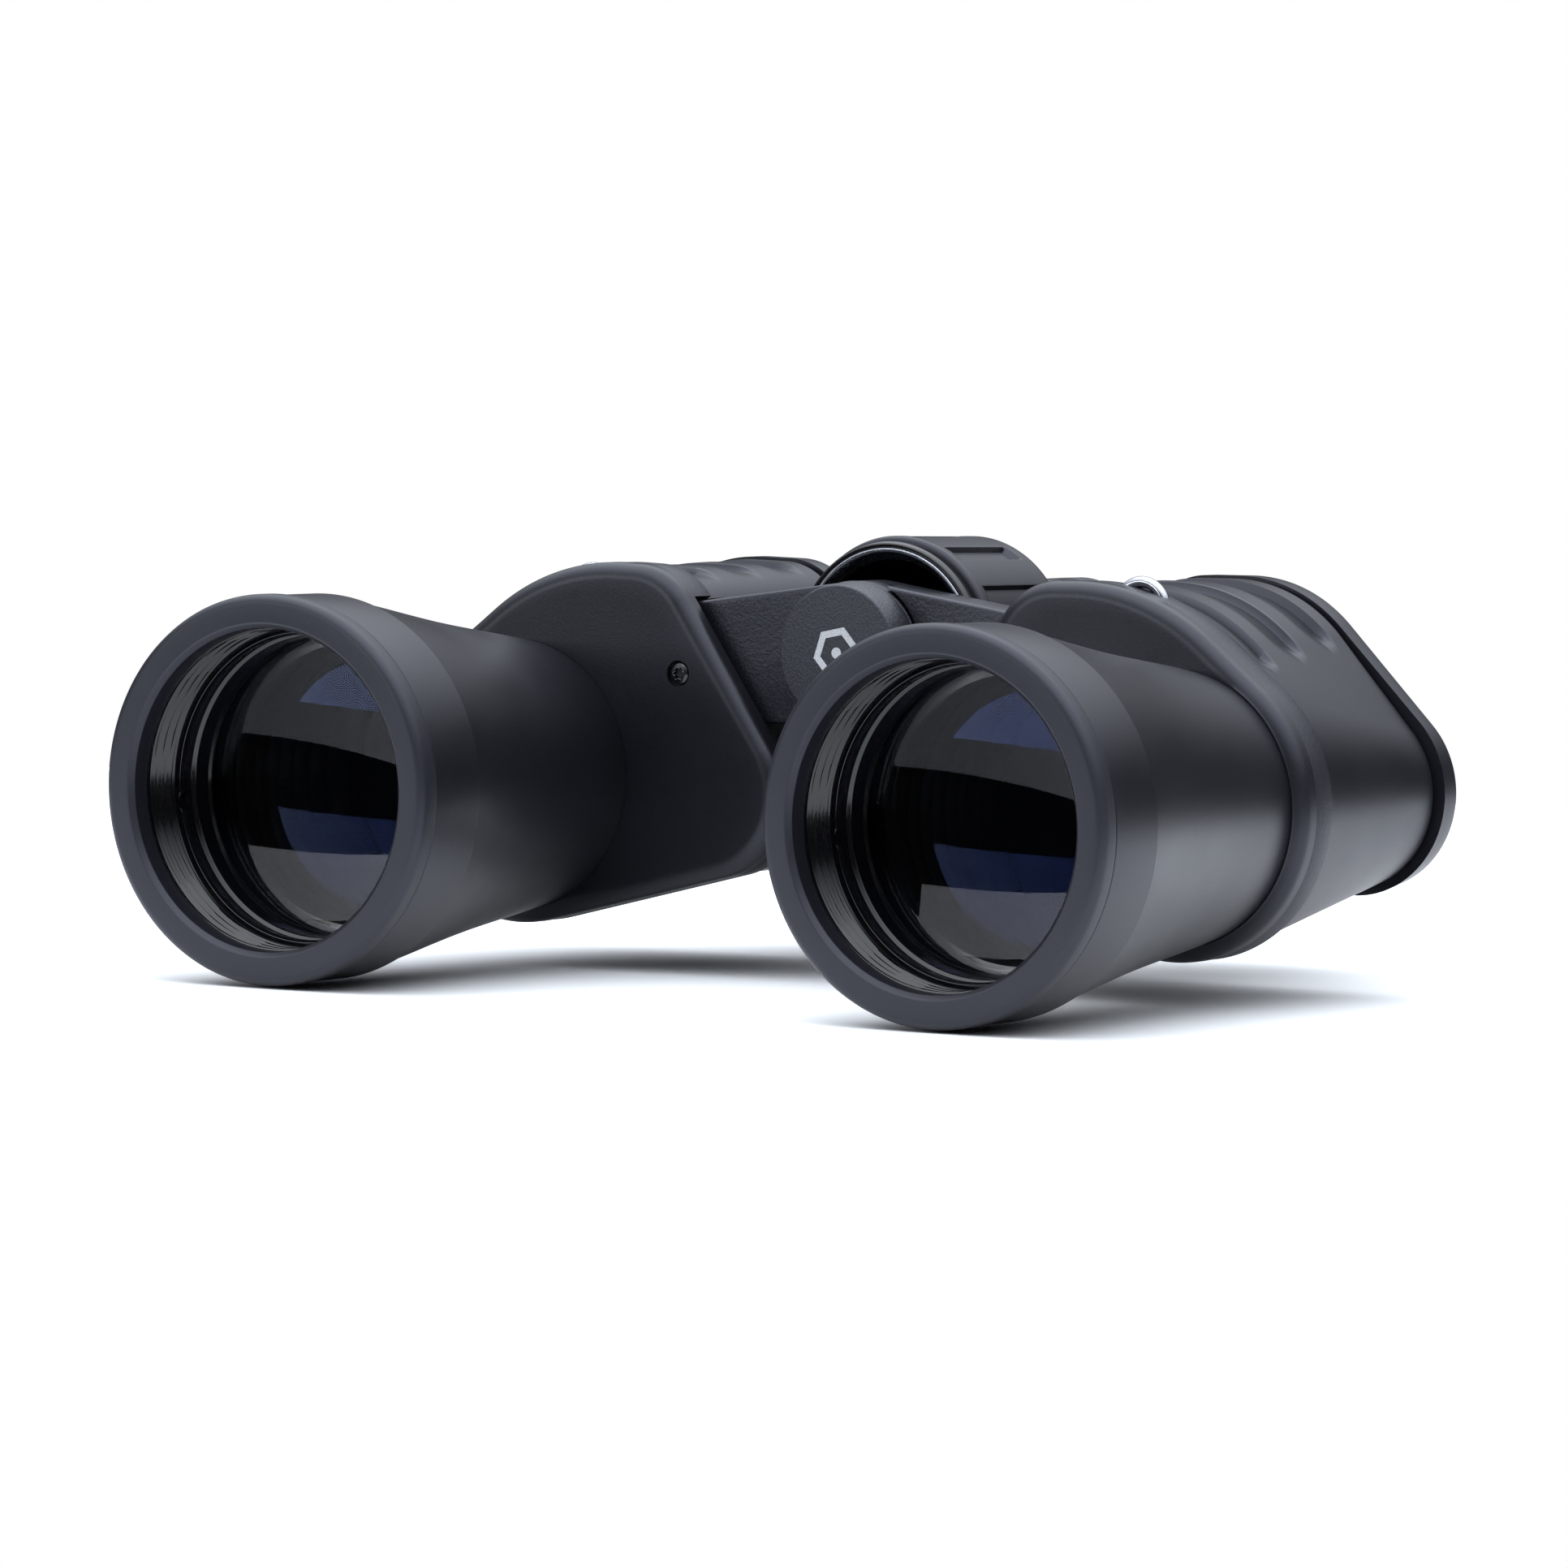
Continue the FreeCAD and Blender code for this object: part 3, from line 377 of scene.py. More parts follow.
def outline(station, inset, barrel_inset=0.0, first=None, last=None):
    """Points (x, z) of the right housing's section, counter-clockwise from the front.

    With first and last, the outline is open: it starts on the nose at the angle first and
    runs round the belly, barrel, shoulder and crown to the angle last.
    """
    share = min(max((station - STRIP_END) / (REAR_FACE - STRIP_END), 0), 1)
    circles = []
    for index, (front, rear) in enumerate(zip(FRONT_ARCS, REAR_ARCS)):
        x, rise, radius = (a + (b - a) * share for a, b in zip(front, rear))
        less = inset + (barrel_inset if index == BARREL else 0)
        circles.append((x, OBJECTIVE_Z + rise, radius - less))
    touch = []
    for index, (x, z, radius) in enumerate(circles):
        next_x, next_z, next_radius = circles[(index + 1) % 4]
        distance = math.hypot(next_x - x, next_z - z)
        heading = math.atan2(next_z - z, next_x - x)
        touch.append(heading - math.acos((radius - next_radius) / distance))
    points = []
    order = (BARREL, SHOULDER, CROWN, NOSE) if first is None else (NOSE, BARREL, SHOULDER, CROWN)
    for index in order:
        x, z, radius = circles[index]
        begin = touch[index - 1]
        end = begin + (touch[index] - begin) % (2 * math.pi)
        if first is not None and index == NOSE:
            begin = first
            end = first + (touch[index] - first) % (2 * math.pi)
        if last is not None and index == CROWN:
            end = last
        steps = ARC_STEPS[index]
        for k in range(steps + 1):
            angle = begin + (end - begin) * k / steps
            points.append((x + radius * math.cos(angle), z + radius * math.sin(angle)))
        if last is not None and index == CROWN:
            continue
        next_x, next_z, next_radius = circles[(index + 1) % 4]
        ahead = (next_x + next_radius * math.cos(end), next_z + next_radius * math.sin(end))
        here = points[-1]
        for k in range(1, LINE_STEPS[index]):
            part = k / LINE_STEPS[index]
            points.append((here[0] + (ahead[0] - here[0]) * part, here[1] + (ahead[1] - here[1]) * part))
    return points


def section_ring(side, station, inset, barrel_inset=0.0):
    """Ring of mesh points of one housing section."""
    return [(side * x, station, z) for x, z in outline(station, inset, barrel_inset)]


def hole_ring(side, station, centre, radius, matching):
    """Circle whose points lie on the rays from its centre to a matching ring's points."""
    ring = []
    for x, _, z in matching:
        away = Vector((x - centre[0], z - centre[1])).normalized() * radius
        ring.append((centre[0] + away.x, station, centre[1] + away.y))
    return ring


def kept_outside(ring, centre, radius):
    """The same ring with no point nearer to a centre than radius."""
    kept = []
    for x, y, z in ring:
        away = Vector((x - centre[0], z - centre[1]))
        if away.length < radius:
            away = away.normalized() * radius
        kept.append((centre[0] + away.x, y, centre[1] + away.y))
    return kept


def between(first, second, share):
    """Ring a share of the way from one ring to another."""
    return [tuple(a + (b - a) * share for a, b in zip(p, q)) for p, q in zip(first, second)]


def cover_plate(name, side, outer, inner, centre, bore, bevel_width, bevel_depth):
    """Plate of the housing's outline with a bore and a soft bevel round its outer face."""
    heading = 1 if inner > outer else -1
    steps = 8
    bevel = []
    for step in range(steps + 1):
        angle = math.pi / 2 * step / steps
        inset = bevel_width * (1 - math.sin(angle))
        station = outer + heading * bevel_depth * (1 - math.cos(angle))
        clear = bore + 0.25 + 0.05 * step
        bevel.append(kept_outside(section_ring(side, station, inset), centre, clear))
    mouth = hole_ring(side, outer, centre, bore, bevel[0])
    flat = [between(mouth, bevel[0], k / 6) for k in range(6)]
    side_wall = [section_ring(side, outer + (inner - outer) * share, 0) for share in (0.7, 1.0)]
    back = [hole_ring(side, inner, centre, bore, side_wall[-1])]
    return ring_mesh(name, flat + bevel + side_wall + back)


# ------------------------------------------------------------- objective end

THREAD_PITCH = 1.0
THREAD_START = 4.5
THREAD_END = 11.3
HOOD_BORE = 25.6
RING_NOTCHES = (math.radians(188), math.radians(8))


def thread_depth(station, angle):
    """Depth of the hood's helical thread under its crests."""
    phase = (station / THREAD_PITCH - angle / (2 * math.pi)) % 1
    fade = smooth_step(THREAD_START, THREAD_START + 0.6, station)
    fade *= 1 - smooth_step(THREAD_END - 0.6, THREAD_END, station)
    return 0.55 * fade * (1 - abs(2 * phase - 1)) ** 0.8


def barrel_radius(station):
    """Radius of the barrel's tapering outside, a little waisted, from its band to its neck."""
    start, end = 16.6, COVER_FRONT
    share = (station - start) / (end - start)
    return 30.2 - 8.2 * share - 0.4 * math.sin(math.pi * share) ** 2


def objective_end(name):
    """Bumper ring, barrel with its threaded hood, lens ring, lens and light baffle."""
    body = name + "_half"
    axis = OBJECTIVE[name]
    ring = rounded([(25.6, 0.9, 0.3), (26.4, 0.0, 0.5), (30.985, 0.0, 1.6), (30.985, 3.55, 0.25),
                    (30.55, 3.8), (30.55, 4.0), (25.6, 4.0)])
    # The ring's lighter rubber is painted light on its lit front face.
    piece(turned(name + "_bumper_ring", ring, axis, 256), RIM_RUBBER_PAINTED_LIGHT, body, "soft_rubber",
          name + "_front_ring")

    outside = rounded([(25.6, 4.0), (30.5, 4.0), (30.75, 4.25, 0.15), (30.7, 16.2, 0.35),
                       (30.2, 16.6)])
    taper = [(barrel_radius(s), s) for s in (17 + 53 * k / 40 for k in range(41))]
    inside = [(22.0, COVER_REAR), (19.8, COVER_REAR), (19.8, 77.5), (17.8, 77.5), (17.8, 73.0),
              (19.6, 70.0), (21.6, 56.0), (23.8, 34.0), (23.8, 26.0), (25.0, 26.0), (25.0, 11.5)]
    steps = 56
    hood = [(HOOD_BORE, 11.5 - (11.5 - 4.05) * k / steps) for k in range(steps + 1)]

    def with_thread(radius, station, angle):
        """Thread cut outwards into the hood's bore."""
        if abs(radius - HOOD_BORE) < 1e-6 and 4.0 < station < 11.5:
            return radius - 0.25 + thread_depth(station, angle)
        return radius

    tube = turned(name + "_barrel", outside + taper + inside + hood, axis, 256, with_thread)
    made = piece(tube, (RUBBER, THREAD), body, "soft_rubber", name + "_objective_tube")
    for face in made.data.polygons:
        centre = face.center
        away = math.hypot(centre.x / MM - axis[0], centre.z / MM - axis[1])
        station = (centre.y - RIM_Y) / MM
        if away < 26.2 and station < 60 and away < barrel_radius(max(station, 17)) - 1.0:
            face.material_index = 1

    def with_notches(radius, station, angle):
        """Spanner notches in the ring's front edge."""
        for notch in RING_NOTCHES:
            gap = abs((angle - notch + math.pi) % (2 * math.pi) - math.pi)
            if gap < math.radians(2.2) and station < 13.4:
                return max(radius, 24.85)
        return radius

    ring = rounded([(25.0, 11.5), (24.6, 11.5, 0.15), (24.3, 12.2, 0.3), (24.3, 13.3, 0.2),
                    (24.75, 13.7, 0.2), (24.6, 14.6, 0.2), (23.95, 15.0, 0.3), (23.8, 18.0, 0.3),
                    (23.4, 18.5, 0.15), (23.4, 18.75), (25.0, 18.9)])
    piece(turned(name + "_retaining_ring", ring, axis, 360, with_notches), GLOSS, body,
          "gloss_black", name + "_lens_ring")

    front = dome(24.0, 18.9, -122.0)
    rear = dome(23.6, 26.0, 300.0)
    profile = front + [(24.9, 18.9), (24.9, 26.0)] + rear[::-1]
    lens = piece(turned(name + "_lens_doublet", profile, axis, 128),
                 (FRONT_GLASS, REAR_GLASS), body, "coated_glass", name + "_objective_lens")
    for face in lens.data.polygons:
        if face.center.y > RIM_Y + 22 * MM:
            face.material_index = 1

    ridges = []
    start, pitch, count, wall = 27.6, 3.2, 9, 0.8
    for k in range(count):
        station = start + k * pitch
        bore = 23.6 - max(station - 34.0, 0) * 0.1
        ridges += [(bore - wall - 1.1, station), (bore - wall - 1.1, station + 0.25),
                   (bore - wall, station + pitch * 0.4)]
    end = start + count * pitch
    ridges += [(20.6, end), (21.35, end), (23.6, 34.0), (23.6, start)]
    piece(turned(name + "_baffle", ridges, axis, 160), BAFFLE, body, "gloss_black",
          name + "_light_baffle")


# ----------------------------------------------------------- screws and marks

def torx_screw(name, x, z, top, heading, body):
    """Pan-head screw with a six-lobed socket; heading +1 points its shank to the rear."""
    head, shank, socket = 1.82, 0.9, 0.85
    profile = [(0, top + heading * 0.62), (socket, top + heading * 0.6), (socket, top + heading * 0.08),
               (socket + 0.12, top + heading * 0.02), (head - 0.45, top + heading * 0.08),
               (head - 0.12, top + heading * 0.3), (head, top + heading * 0.62),
               (head, top + heading * 0.9), (shank, top + heading * 0.9),
               (shank, top + heading * 5.0), (0, top + heading * 5.6)]

    def lobed(radius, station, angle):
        """Six lobes round the socket."""
        if 0 < radius <= socket + 0.13:
            return radius * (1 + 0.16 * math.cos(6 * angle))
        return radius

    made = turned(name, profile, (x, z), 72, lobed)
    return piece(made, STEEL, body, "dark_steel", sharp=30)


# ------------------------------------------------------------- prism housings

GROOVES = ((86.4, 73.0), (98.6, 70.8), (111.2, 68.9))
GROOVE_DEPTH = 1.3
SCREW = (30.8, 48.5)
ARM_ROOTS = ((24.0, -9.6, 3.0), (38.0, 1.0, 5.0))
HUB_RADIUS = 11.4
ARMS = {"front": (75.5, 83.6), "rear": (111.6, CHASSIS_END)}
AXLE_RADIUS = 5.0
REAR_SCREWS = ((73.0, 28.0), (58.0, 54.0), (51.5, 22.5))


def groove_depth(x, station):
    """Depth of the three finger grooves: a slow ramp rearward, then a quick rise."""
    deepest = 0.0
    for wall, outer_end in GROOVES:
        along = station - wall
        ramp = smooth_step(-7.5, -0.6, along) * (1 - smooth_step(-0.2, 0.6, along))
        end = 1 - smooth_step(outer_end - 3.6, outer_end, x + 0.35 * abs(along + 2.5))
        inner = smooth_step(33.0, 40.0, x)
        deepest = max(deepest, GROOVE_DEPTH * ramp * end * inner)
    return deepest


def armour(name, side):
    """Rubber skin over belly, barrel end, shoulder and crown, with its strip and grooves."""
    first, last = math.radians(168), math.radians(144)
    skin_inner = 1.98

    def loop(station, inset, barrel_inset, grooved):
        """One closed cross-section of the skin at a station."""
        outer = outline(station, inset, barrel_inset, first, last)
        inner = outline(station, skin_inner, barrel_inset, first, last)
        if grooved:
            lowered = []
            for (x, z), (inner_x, inner_z) in zip(outer, inner):
                share = min(groove_depth(x, station) / (skin_inner - inset), 0.95)
                lowered.append((x + (inner_x - x) * share, z + (inner_z - z) * share))
            outer = lowered
        points = outer + inner[::-1]
        return [(side * x, station, z) for x, z in points]

    def skin(label, sections, material, *replaced):
        """Solid through cross-sections, closed at both ends by strips."""
        loops = [loop(*section) for section in sections]
        count = len(loops[0])
        points = [point for ring in loops for point in ring]
        faces = []
        for index in range(len(loops) - 1):
            a, b = index * count, (index + 1) * count
            for k in range(count):
                after = (k + 1) % count
                faces.append((a + k, b + k, b + after, a + after))
        for base in (0, (len(loops) - 1) * count):
            for k in range(count // 2 - 1):
                faces.append((base + k, base + k + 1, base + count - 2 - k, base + count - 1 - k))
        made = new_object(label, points, faces)
        return piece(made, material, name + "_half", "soft_rubber", *replaced)

    strip_front = [(COVER_REAR, 0.45, 0, False), (COVER_REAR + 0.15, 0.2, 0, False),
                   (COVER_REAR + 0.5, 0.1, 0, False)]
    strip_rear = [(STRIP_END - 0.5, 0.1, 0, False), (STRIP_END - 0.15, 0.2, 0, False),
                  (STRIP_END, 0.5, 0, False)]
    skin(name + "_armour_strip", strip_front + strip_rear, STRIP_RUBBER)
    sections = []
    count = 108
    for k in range(count + 1):
        station = STRIP_END + 0.02 + (ARMOUR_END - STRIP_END - 0.02) * k / count
        share = k / count
        edge = 0.35 * (1 - smooth_step(0, 0.5, min(station - STRIP_END, ARMOUR_END - station)))
        sections.append((station, 0.95 - 0.55 * share + edge, 1.1 * share, True))
    skin(name + "_armour_skin", sections, RUBBER, name + "_armour")


def housing_core(side, inset, front, rear):
    """Closed solid of the housing's section, for cutting."""
    length = CHASSIS_END - COVER_REAR
    rings = [section_ring(side, s, inset, BARREL_TAPER * (s - COVER_REAR) / length)
             for s in (front, (front + rear) / 2, rear)]
    middle_x, middle_z = side * 42.0, 40.0
    return ring_mesh("core", [[(middle_x, front, middle_z)]] + rings + [[(middle_x, rear, middle_z)]])


def plate_points(circles, side):
    """Outline of circles wrapped by their common tangents."""
    touch = []
    for index, (x, z, radius) in enumerate(circles):
        next_x, next_z, next_radius = circles[(index + 1) % len(circles)]
        distance = math.hypot(next_x - x, next_z - z)
        heading = math.atan2(next_z - z, next_x - x)
        touch.append(heading - math.acos((radius - next_radius) / distance))
    points = []
    for index, (x, z, radius) in enumerate(circles):
        begin = touch[index - 1]
        end = begin + (touch[index] - begin) % (2 * math.pi)
        steps = 48 if radius > 8 else 16
        for k in range(steps + 1):
            angle = begin + (end - begin) * k / steps
            points.append((side * (x + radius * math.cos(angle)), z + radius * math.sin(angle)))
    return points


def plate(name, points, front, rear):
    """Flat plate of an outline between two stations."""
    count = len(points)
    corners = [(x, front, z) for x, z in points] + [(x, rear, z) for x, z in points]
    faces = [tuple(range(count)), tuple(range(2 * count - 1, count - 1, -1))]
    faces += [(k, (k + 1) % count, count + (k + 1) % count, count + k) for k in range(count)]
    return new_object(name, corners, faces)


def drum(name, axis, radius, front, rear, segments=96):
    """Plain cylinder along Y, for cutting."""
    profile = [(0, front), (radius, front), (radius, rear), (0, rear)]
    return turned(name, profile, axis, segments)


def knuckle_half(side, front, rear, gap=0.3):
    """Stations of the half of a hub that the other side's knuckle fills."""
    middle = (front + rear) / 2
    return (front - 1, middle + gap / 2) if side > 0 else (middle - gap / 2, rear + 1)


def hinge_arm(name, side, which):
    """Cast arm from the hinge knuckle into the housing wall."""
    front, rear = ARMS[which]
    hinge_x, hinge_z = HINGE
    circles = [(hinge_x, hinge_z, HUB_RADIUS)]
    circles += [(x, hinge_z + rise, radius) for x, rise, radius in ARM_ROOTS]
    made = plate("%s_%s_arm" % (name, which), plate_points(circles, side), front, rear)
    bevelled(made, 0.55, 4)
    combine(made, drum("free", HINGE, HUB_RADIUS + 0.6, *knuckle_half(side, front, rear)))
    combine(made, drum("bore", HINGE, AXLE_RADIUS + 0.02, front - 1, rear + 1))
    combine(made, housing_core(side, 2.6, COVER_REAR - 2, CHASSIS_END + 3))
    piece(made, GRAINED, name + "_half", "grained_plastic")


def prism_housing(name, side):
    """Covers, casting, armour, screws and strap lug of one side."""
    body = name + "_half"
    axis = OBJECTIVE[name]
    eyepiece = EYEPIECE[name]
    screw = (side * SCREW[0], SCREW[1])

    cover = cover_plate(name + "_prism_cover", side, COVER_FRONT, COVER_REAR, axis, 22.05, 2.8, 2.2)
    combine(cover, drum("counterbore", screw, 2.15, COVER_FRONT - 1, COVER_FRONT + 0.95, 48))
    piece(cover, RUBBER, body, "soft_rubber", name + "_front_cover")
    head = torx_screw(name + "_cover_screw", *screw, COVER_FRONT + 0.06, 1, body)
    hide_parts(name + "_front_screw")

    lid = cover_plate(name + "_rear_lid", side, REAR_FACE, CHASSIS_END, eyepiece, 14.0, 1.6, 1.3)
    piece(lid, RUBBER, body, "soft_rubber", name + "_rear_cover")
    for index, (x, z) in enumerate(REAR_SCREWS):
        screw_head = torx_screw("%s_lid_screw_%d" % (name, index + 1), side * x, z,
                                REAR_FACE + 0.85, -1, body)
        if index == 0:
            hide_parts(name + "_rear_screws")

    rings = []
    steps = 14
    length = CHASSIS_END - COVER_REAR
    for k in range(steps + 1):
        share = k / steps
        rings.append(section_ring(side, COVER_REAR + length * share, 2.0, BARREL_TAPER * share))
    wall = 2.2
    for k in range(steps, -1, -1):
        share = k / steps
        station = COVER_REAR + wall + (length - wall) * share
        rings.append(section_ring(side, station, 2.0 + wall, BARREL_TAPER * share))
    rings.append(hole_ring(side, COVER_REAR + wall, axis, 19.8, rings[-1]))
    rings.append(hole_ring(side, COVER_REAR, axis, 19.8, rings[0]))
    piece(ring_mesh(name + "_casting", rings), CASTING, body, "grained_plastic", name + "_chassis")
    for which in ARMS:
        hinge_arm(name, side, which)
    armour(name, side)
    strap_lug(name, side, body)

    guide = rounded([(12.45, CHASSIS_END), (14.0, CHASSIS_END), (14.0, REAR_FACE),
                     (16.4, REAR_FACE, 0.05), (16.4, REAR_FACE + 1.2, 0.35),
                     (14.7, REAR_FACE + 1.2), (14.6, REAR_FACE + 2.4, 0.4), (12.45, REAR_FACE + 2.4, 0.2)])
    piece(turned(name + "_guide_sleeve", guide, eyepiece), ANODISED, body, "black_anodised",
          name + "_eyepiece_guide")


def strap_lug(name, side, body):
    """Half ring of bright wire, its two ends closed flat."""
    low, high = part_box(name + "_strap_lug")
    station = ((low.y + high.y) / 2 - RIM_Y) / MM
    reach, wire, tilt = 4.3, 0.93, math.radians(13)
    centre = Vector((side * 52.3, 0, high.z / MM - reach - 0.95))
    around, steps = 32, 48
    points = []
    faces = []
    for k in range(steps + 1):
        angle = math.pi * k / steps
        out = Vector((math.cos(angle), 0, math.sin(angle)))
        for j in range(around):
            turn = 2 * math.pi * j / around
            spot = out * (reach + wire * math.cos(turn)) + Vector((0, wire * math.sin(turn), 0))
            spot = Matrix.Rotation(tilt * side, 3, "Y") @ spot + centre
            points.append((spot.x, station + spot.y, spot.z))
    for k in range(steps):
        for j in range(around):
            after = (j + 1) % around
            faces.append((k * around + j, (k + 1) * around + j, (k + 1) * around + after,
                          k * around + after))
    faces.append(tuple(range(around)))
    faces.append(tuple(range(steps * around, (steps + 1) * around)))
    piece(new_object(name + "_lug_ring", points, faces), CHROME, body, "bright_chrome",
          name + "_strap_lug")


# ---------------------------------------------------------- hinge and focusing

def hexagon_mark(station):
    """Flat six-sided iris mark: a hexagonal ring printed on the hub cap."""
    outer, inner = 4.4, 3.1
    points = []
    for radius in (outer, inner):
        for y in (station - 0.04, station + 0.02):
            for k in range(6):
                angle = math.radians(60 * k + 12)
                points.append((HINGE[0] + radius * math.cos(angle), y, HINGE[1] + radius * math.sin(angle)))
    faces = []
    for k in range(6):
        after = (k + 1) % 6
        faces += [(k, after, 12 + after, 12 + k), (6 + k, 18 + k, 18 + after, 6 + after),
                  (k, 6 + k, 6 + after, after), (12 + k, 12 + after, 18 + after, 18 + k)]
    return new_object("hub_mark", points, faces)


def central_hinge():
    """Hub cap with its mark, and the nut at the rear end of the axle."""
    front, rear, axle_front = station_of("hub_cap", 0), 75.2, 73.2
    profile = rounded([(0, front), (10.9, front, 0.4), (11.45, rear - 0.5, 0.2), (11.2, rear),
                       (AXLE_RADIUS, rear), (AXLE_RADIUS, axle_front), (0, axle_front)])
    piece(turned("hub_disc", profile, HINGE), CAP_GRAIN, "right_half", "grained_plastic", "hub_cap")
    piece(hexagon_mark(front), PRINT, "right_half", "grained_plastic")
    dot = rounded([(0, front - 0.04), (0.9, front - 0.04), (0.9, front + 0.02), (0, front + 0.02)])
    piece(turned("hub_mark_dot", dot, HINGE, 48), PRINT, "right_half", "grained_plastic")

    def six_sided(radius, station, angle):
        """Hexagonal flats on the nut."""
        if radius < 6.5:
            return radius
        flat = 7.2 / math.cos((angle % (math.pi / 3)) - math.pi / 6)
        return min(radius, flat)

    nut_bore, nut_rear = 5.02, 120.5
    nut = [(nut_bore, CHASSIS_END), (7.9, CHASSIS_END), (8.0, CHASSIS_END + 0.3),
           (8.0, nut_rear - 0.8), (7.4, nut_rear - 0.1), (5.4, nut_rear), (nut_bore, nut_rear - 0.3)]
    piece(turned("hinge_nut", nut, HINGE, 144, six_sided), STEEL, "right_half", "dark_steel",
          "axle_nut")


def focus_wheel():
    """Core, bright bevel, collar and the padded rubber grip."""
    front = station_of("focus_wheel_ring", 0)
    body = "focus_wheel"
    bore, hub, pin_room = 5.05, 9.6, 8.2
    pin_front, pin_rear = 91.2, 102.8
    core = rounded([(bore, front + 0.4), (hub - 0.2, front + 0.4, 0.3), (hub, GRIP_FRONT + 16.5),
                    (12.0, GRIP_FRONT + 17.4), (14.6, GRIP_FRONT + 16.0), (14.6, GRIP_FRONT),
                    (15.9, GRIP_FRONT), (15.9, WHEEL_REAR), (14.8, WHEEL_REAR, 0.3),
                    (14.6, WHEEL_REAR - 3.5), (hub, WHEEL_REAR - 3.5), (hub, WHEEL_REAR, 0.4),
                    (bore, WHEEL_REAR), (bore, pin_rear), (pin_room, pin_rear),
                    (pin_room, pin_front), (bore, pin_front)])
    piece(turned("wheel_core", core, HINGE), CASTING, body, "grained_plastic", "focus_wheel_core")
    bevel = rounded([(14.6, GRIP_FRONT), (14.6, front + 2.0, 0.4), (15.9, front + 0.25, 0.5),
                     (16.5, front + 0.2, 0.2), (16.5, GRIP_FRONT)])
    piece(turned("wheel_bevel", bevel, HINGE), BEVEL_CHROME, body, "bright_chrome", "focus_wheel_ring")
    collar = rounded([(16.52, front + 0.55), (17.2, front + 0.1, 0.3), (17.6, front + 1.2, 0.5),
                      (17.2, front + 2.0, 0.2), (17.3, GRIP_FRONT), (16.52, GRIP_FRONT)])
    piece(turned("wheel_collar", collar, HINGE), GLOSS, body, "grained_plastic")

    pads, pad_share = 12, 0.6
    recess_front, recess_rear, depth = 89.2, 108.0, 0.85
    outer_front, outer_rear = 18.385, 17.85

    def padded_radius(radius, station, angle):
        """Recessed strips between the pads, with sloping ends."""
        if radius < 17.0:
            return radius
        turn = (angle / (2 * math.pi) * pads) % 1
        from_centre = abs((turn + 0.5) % 1 - 0.5)
        strip = 1 - smooth_step(0.5 - pad_share / 2 - 0.045, 0.5 - pad_share / 2 + 0.005, from_centre)
        ends = smooth_step(recess_front, recess_front + 0.8, station)
        ends *= 1 - smooth_step(recess_rear - 1.0, recess_rear, station)
        return radius - depth * strip * ends

    steps = 56
    top = []
    for k in range(steps + 1):
        share = k / steps
        top.append((outer_front + (outer_rear - outer_front) * share,
                    GRIP_FRONT + 0.9 + (WHEEL_REAR - GRIP_FRONT - 1.8) * share))
    ridge = [(15.92, GRIP_FRONT), (17.55, GRIP_FRONT), (18.0, GRIP_FRONT + 0.2), (18.3, GRIP_FRONT + 0.5)]
    rear = [(outer_rear - 0.15, WHEEL_REAR - 0.45), (outer_rear - 0.45, WHEEL_REAR - 0.12),
            (outer_rear - 0.8, WHEEL_REAR), (15.92, WHEEL_REAR)]
    piece(turned("wheel_grip", ridge + top + rear, HINGE, 600, padded_radius), GRIP_RUBBER, body,
          "grip_rubber", "focus_wheel_grip")


def ocular_bridge():
    """Ocular arms with their rings, and the cap on the end of the focus shaft."""
    bodies = {"right": "bridge", "left": "left_ocular"}
    hinge_x, hinge_z = HINGE
    for name, side in SIDES:
        eyepiece = EYEPIECE[name]
        web_circles = [(hinge_x, hinge_z, 7.0), (side * eyepiece[0], eyepiece[1], 12.0)]
        made = plate(name + "_bridge_arm", plate_points(web_circles, side), BRIDGE_FRONT, BRIDGE_REAR)
        bevelled(made, 0.8, 4)
        ring = rounded([(0, BRIDGE_FRONT), (19.0, BRIDGE_FRONT, 0.8), (19.0, BRIDGE_REAR, 0.8),
                        (0, BRIDGE_REAR)])
        combine(made, turned("ring", ring, eyepiece, 144), "UNION")
        hub = rounded([(0, BRIDGE_FRONT), (10.4, BRIDGE_FRONT, 0.5), (10.4, BRIDGE_REAR, 0.5),
                       (0, BRIDGE_REAR)])
        combine(made, turned("hub", hub, HINGE, 96), "UNION")
        combine(made, drum("free", HINGE, 10.9, *knuckle_half(side, BRIDGE_FRONT, BRIDGE_REAR)))
        combine(made, drum("shaft_bore", HINGE, 3.55, BRIDGE_FRONT - 1, BRIDGE_REAR + 1, 48))
        combine(made, drum("ring_bore", eyepiece, 15.55, BRIDGE_FRONT - 1, BRIDGE_REAR + 1, 144))
        piece(made, GRAINED, bodies[name], "grained_plastic", name + "_ocular_arm")
    rear = station_of("bridge_cap", 1)
    cap = rounded([(3.5, BRIDGE_REAR + 0.3), (10.4, BRIDGE_REAR + 0.3, 0.3), (10.3, rear, 2.6),
                   (0, rear), (0, BRIDGE_REAR + 3.0), (3.5, BRIDGE_REAR + 3.0)], 10)
    piece(turned("bridge_end_cap", cap, HINGE, 144), CAP_GRAIN, "bridge", "grained_plastic",
          "bridge_cap")


# ------------------------------------------------------------------ eyepieces

def knurled(base):
    """Radius with fine straight knurls on the outermost surface."""
    def shape(radius, station, angle):
        return radius - (0.28 if radius > base else 0) * (0.5 + 0.5 * math.cos(60 * angle))
    return shape


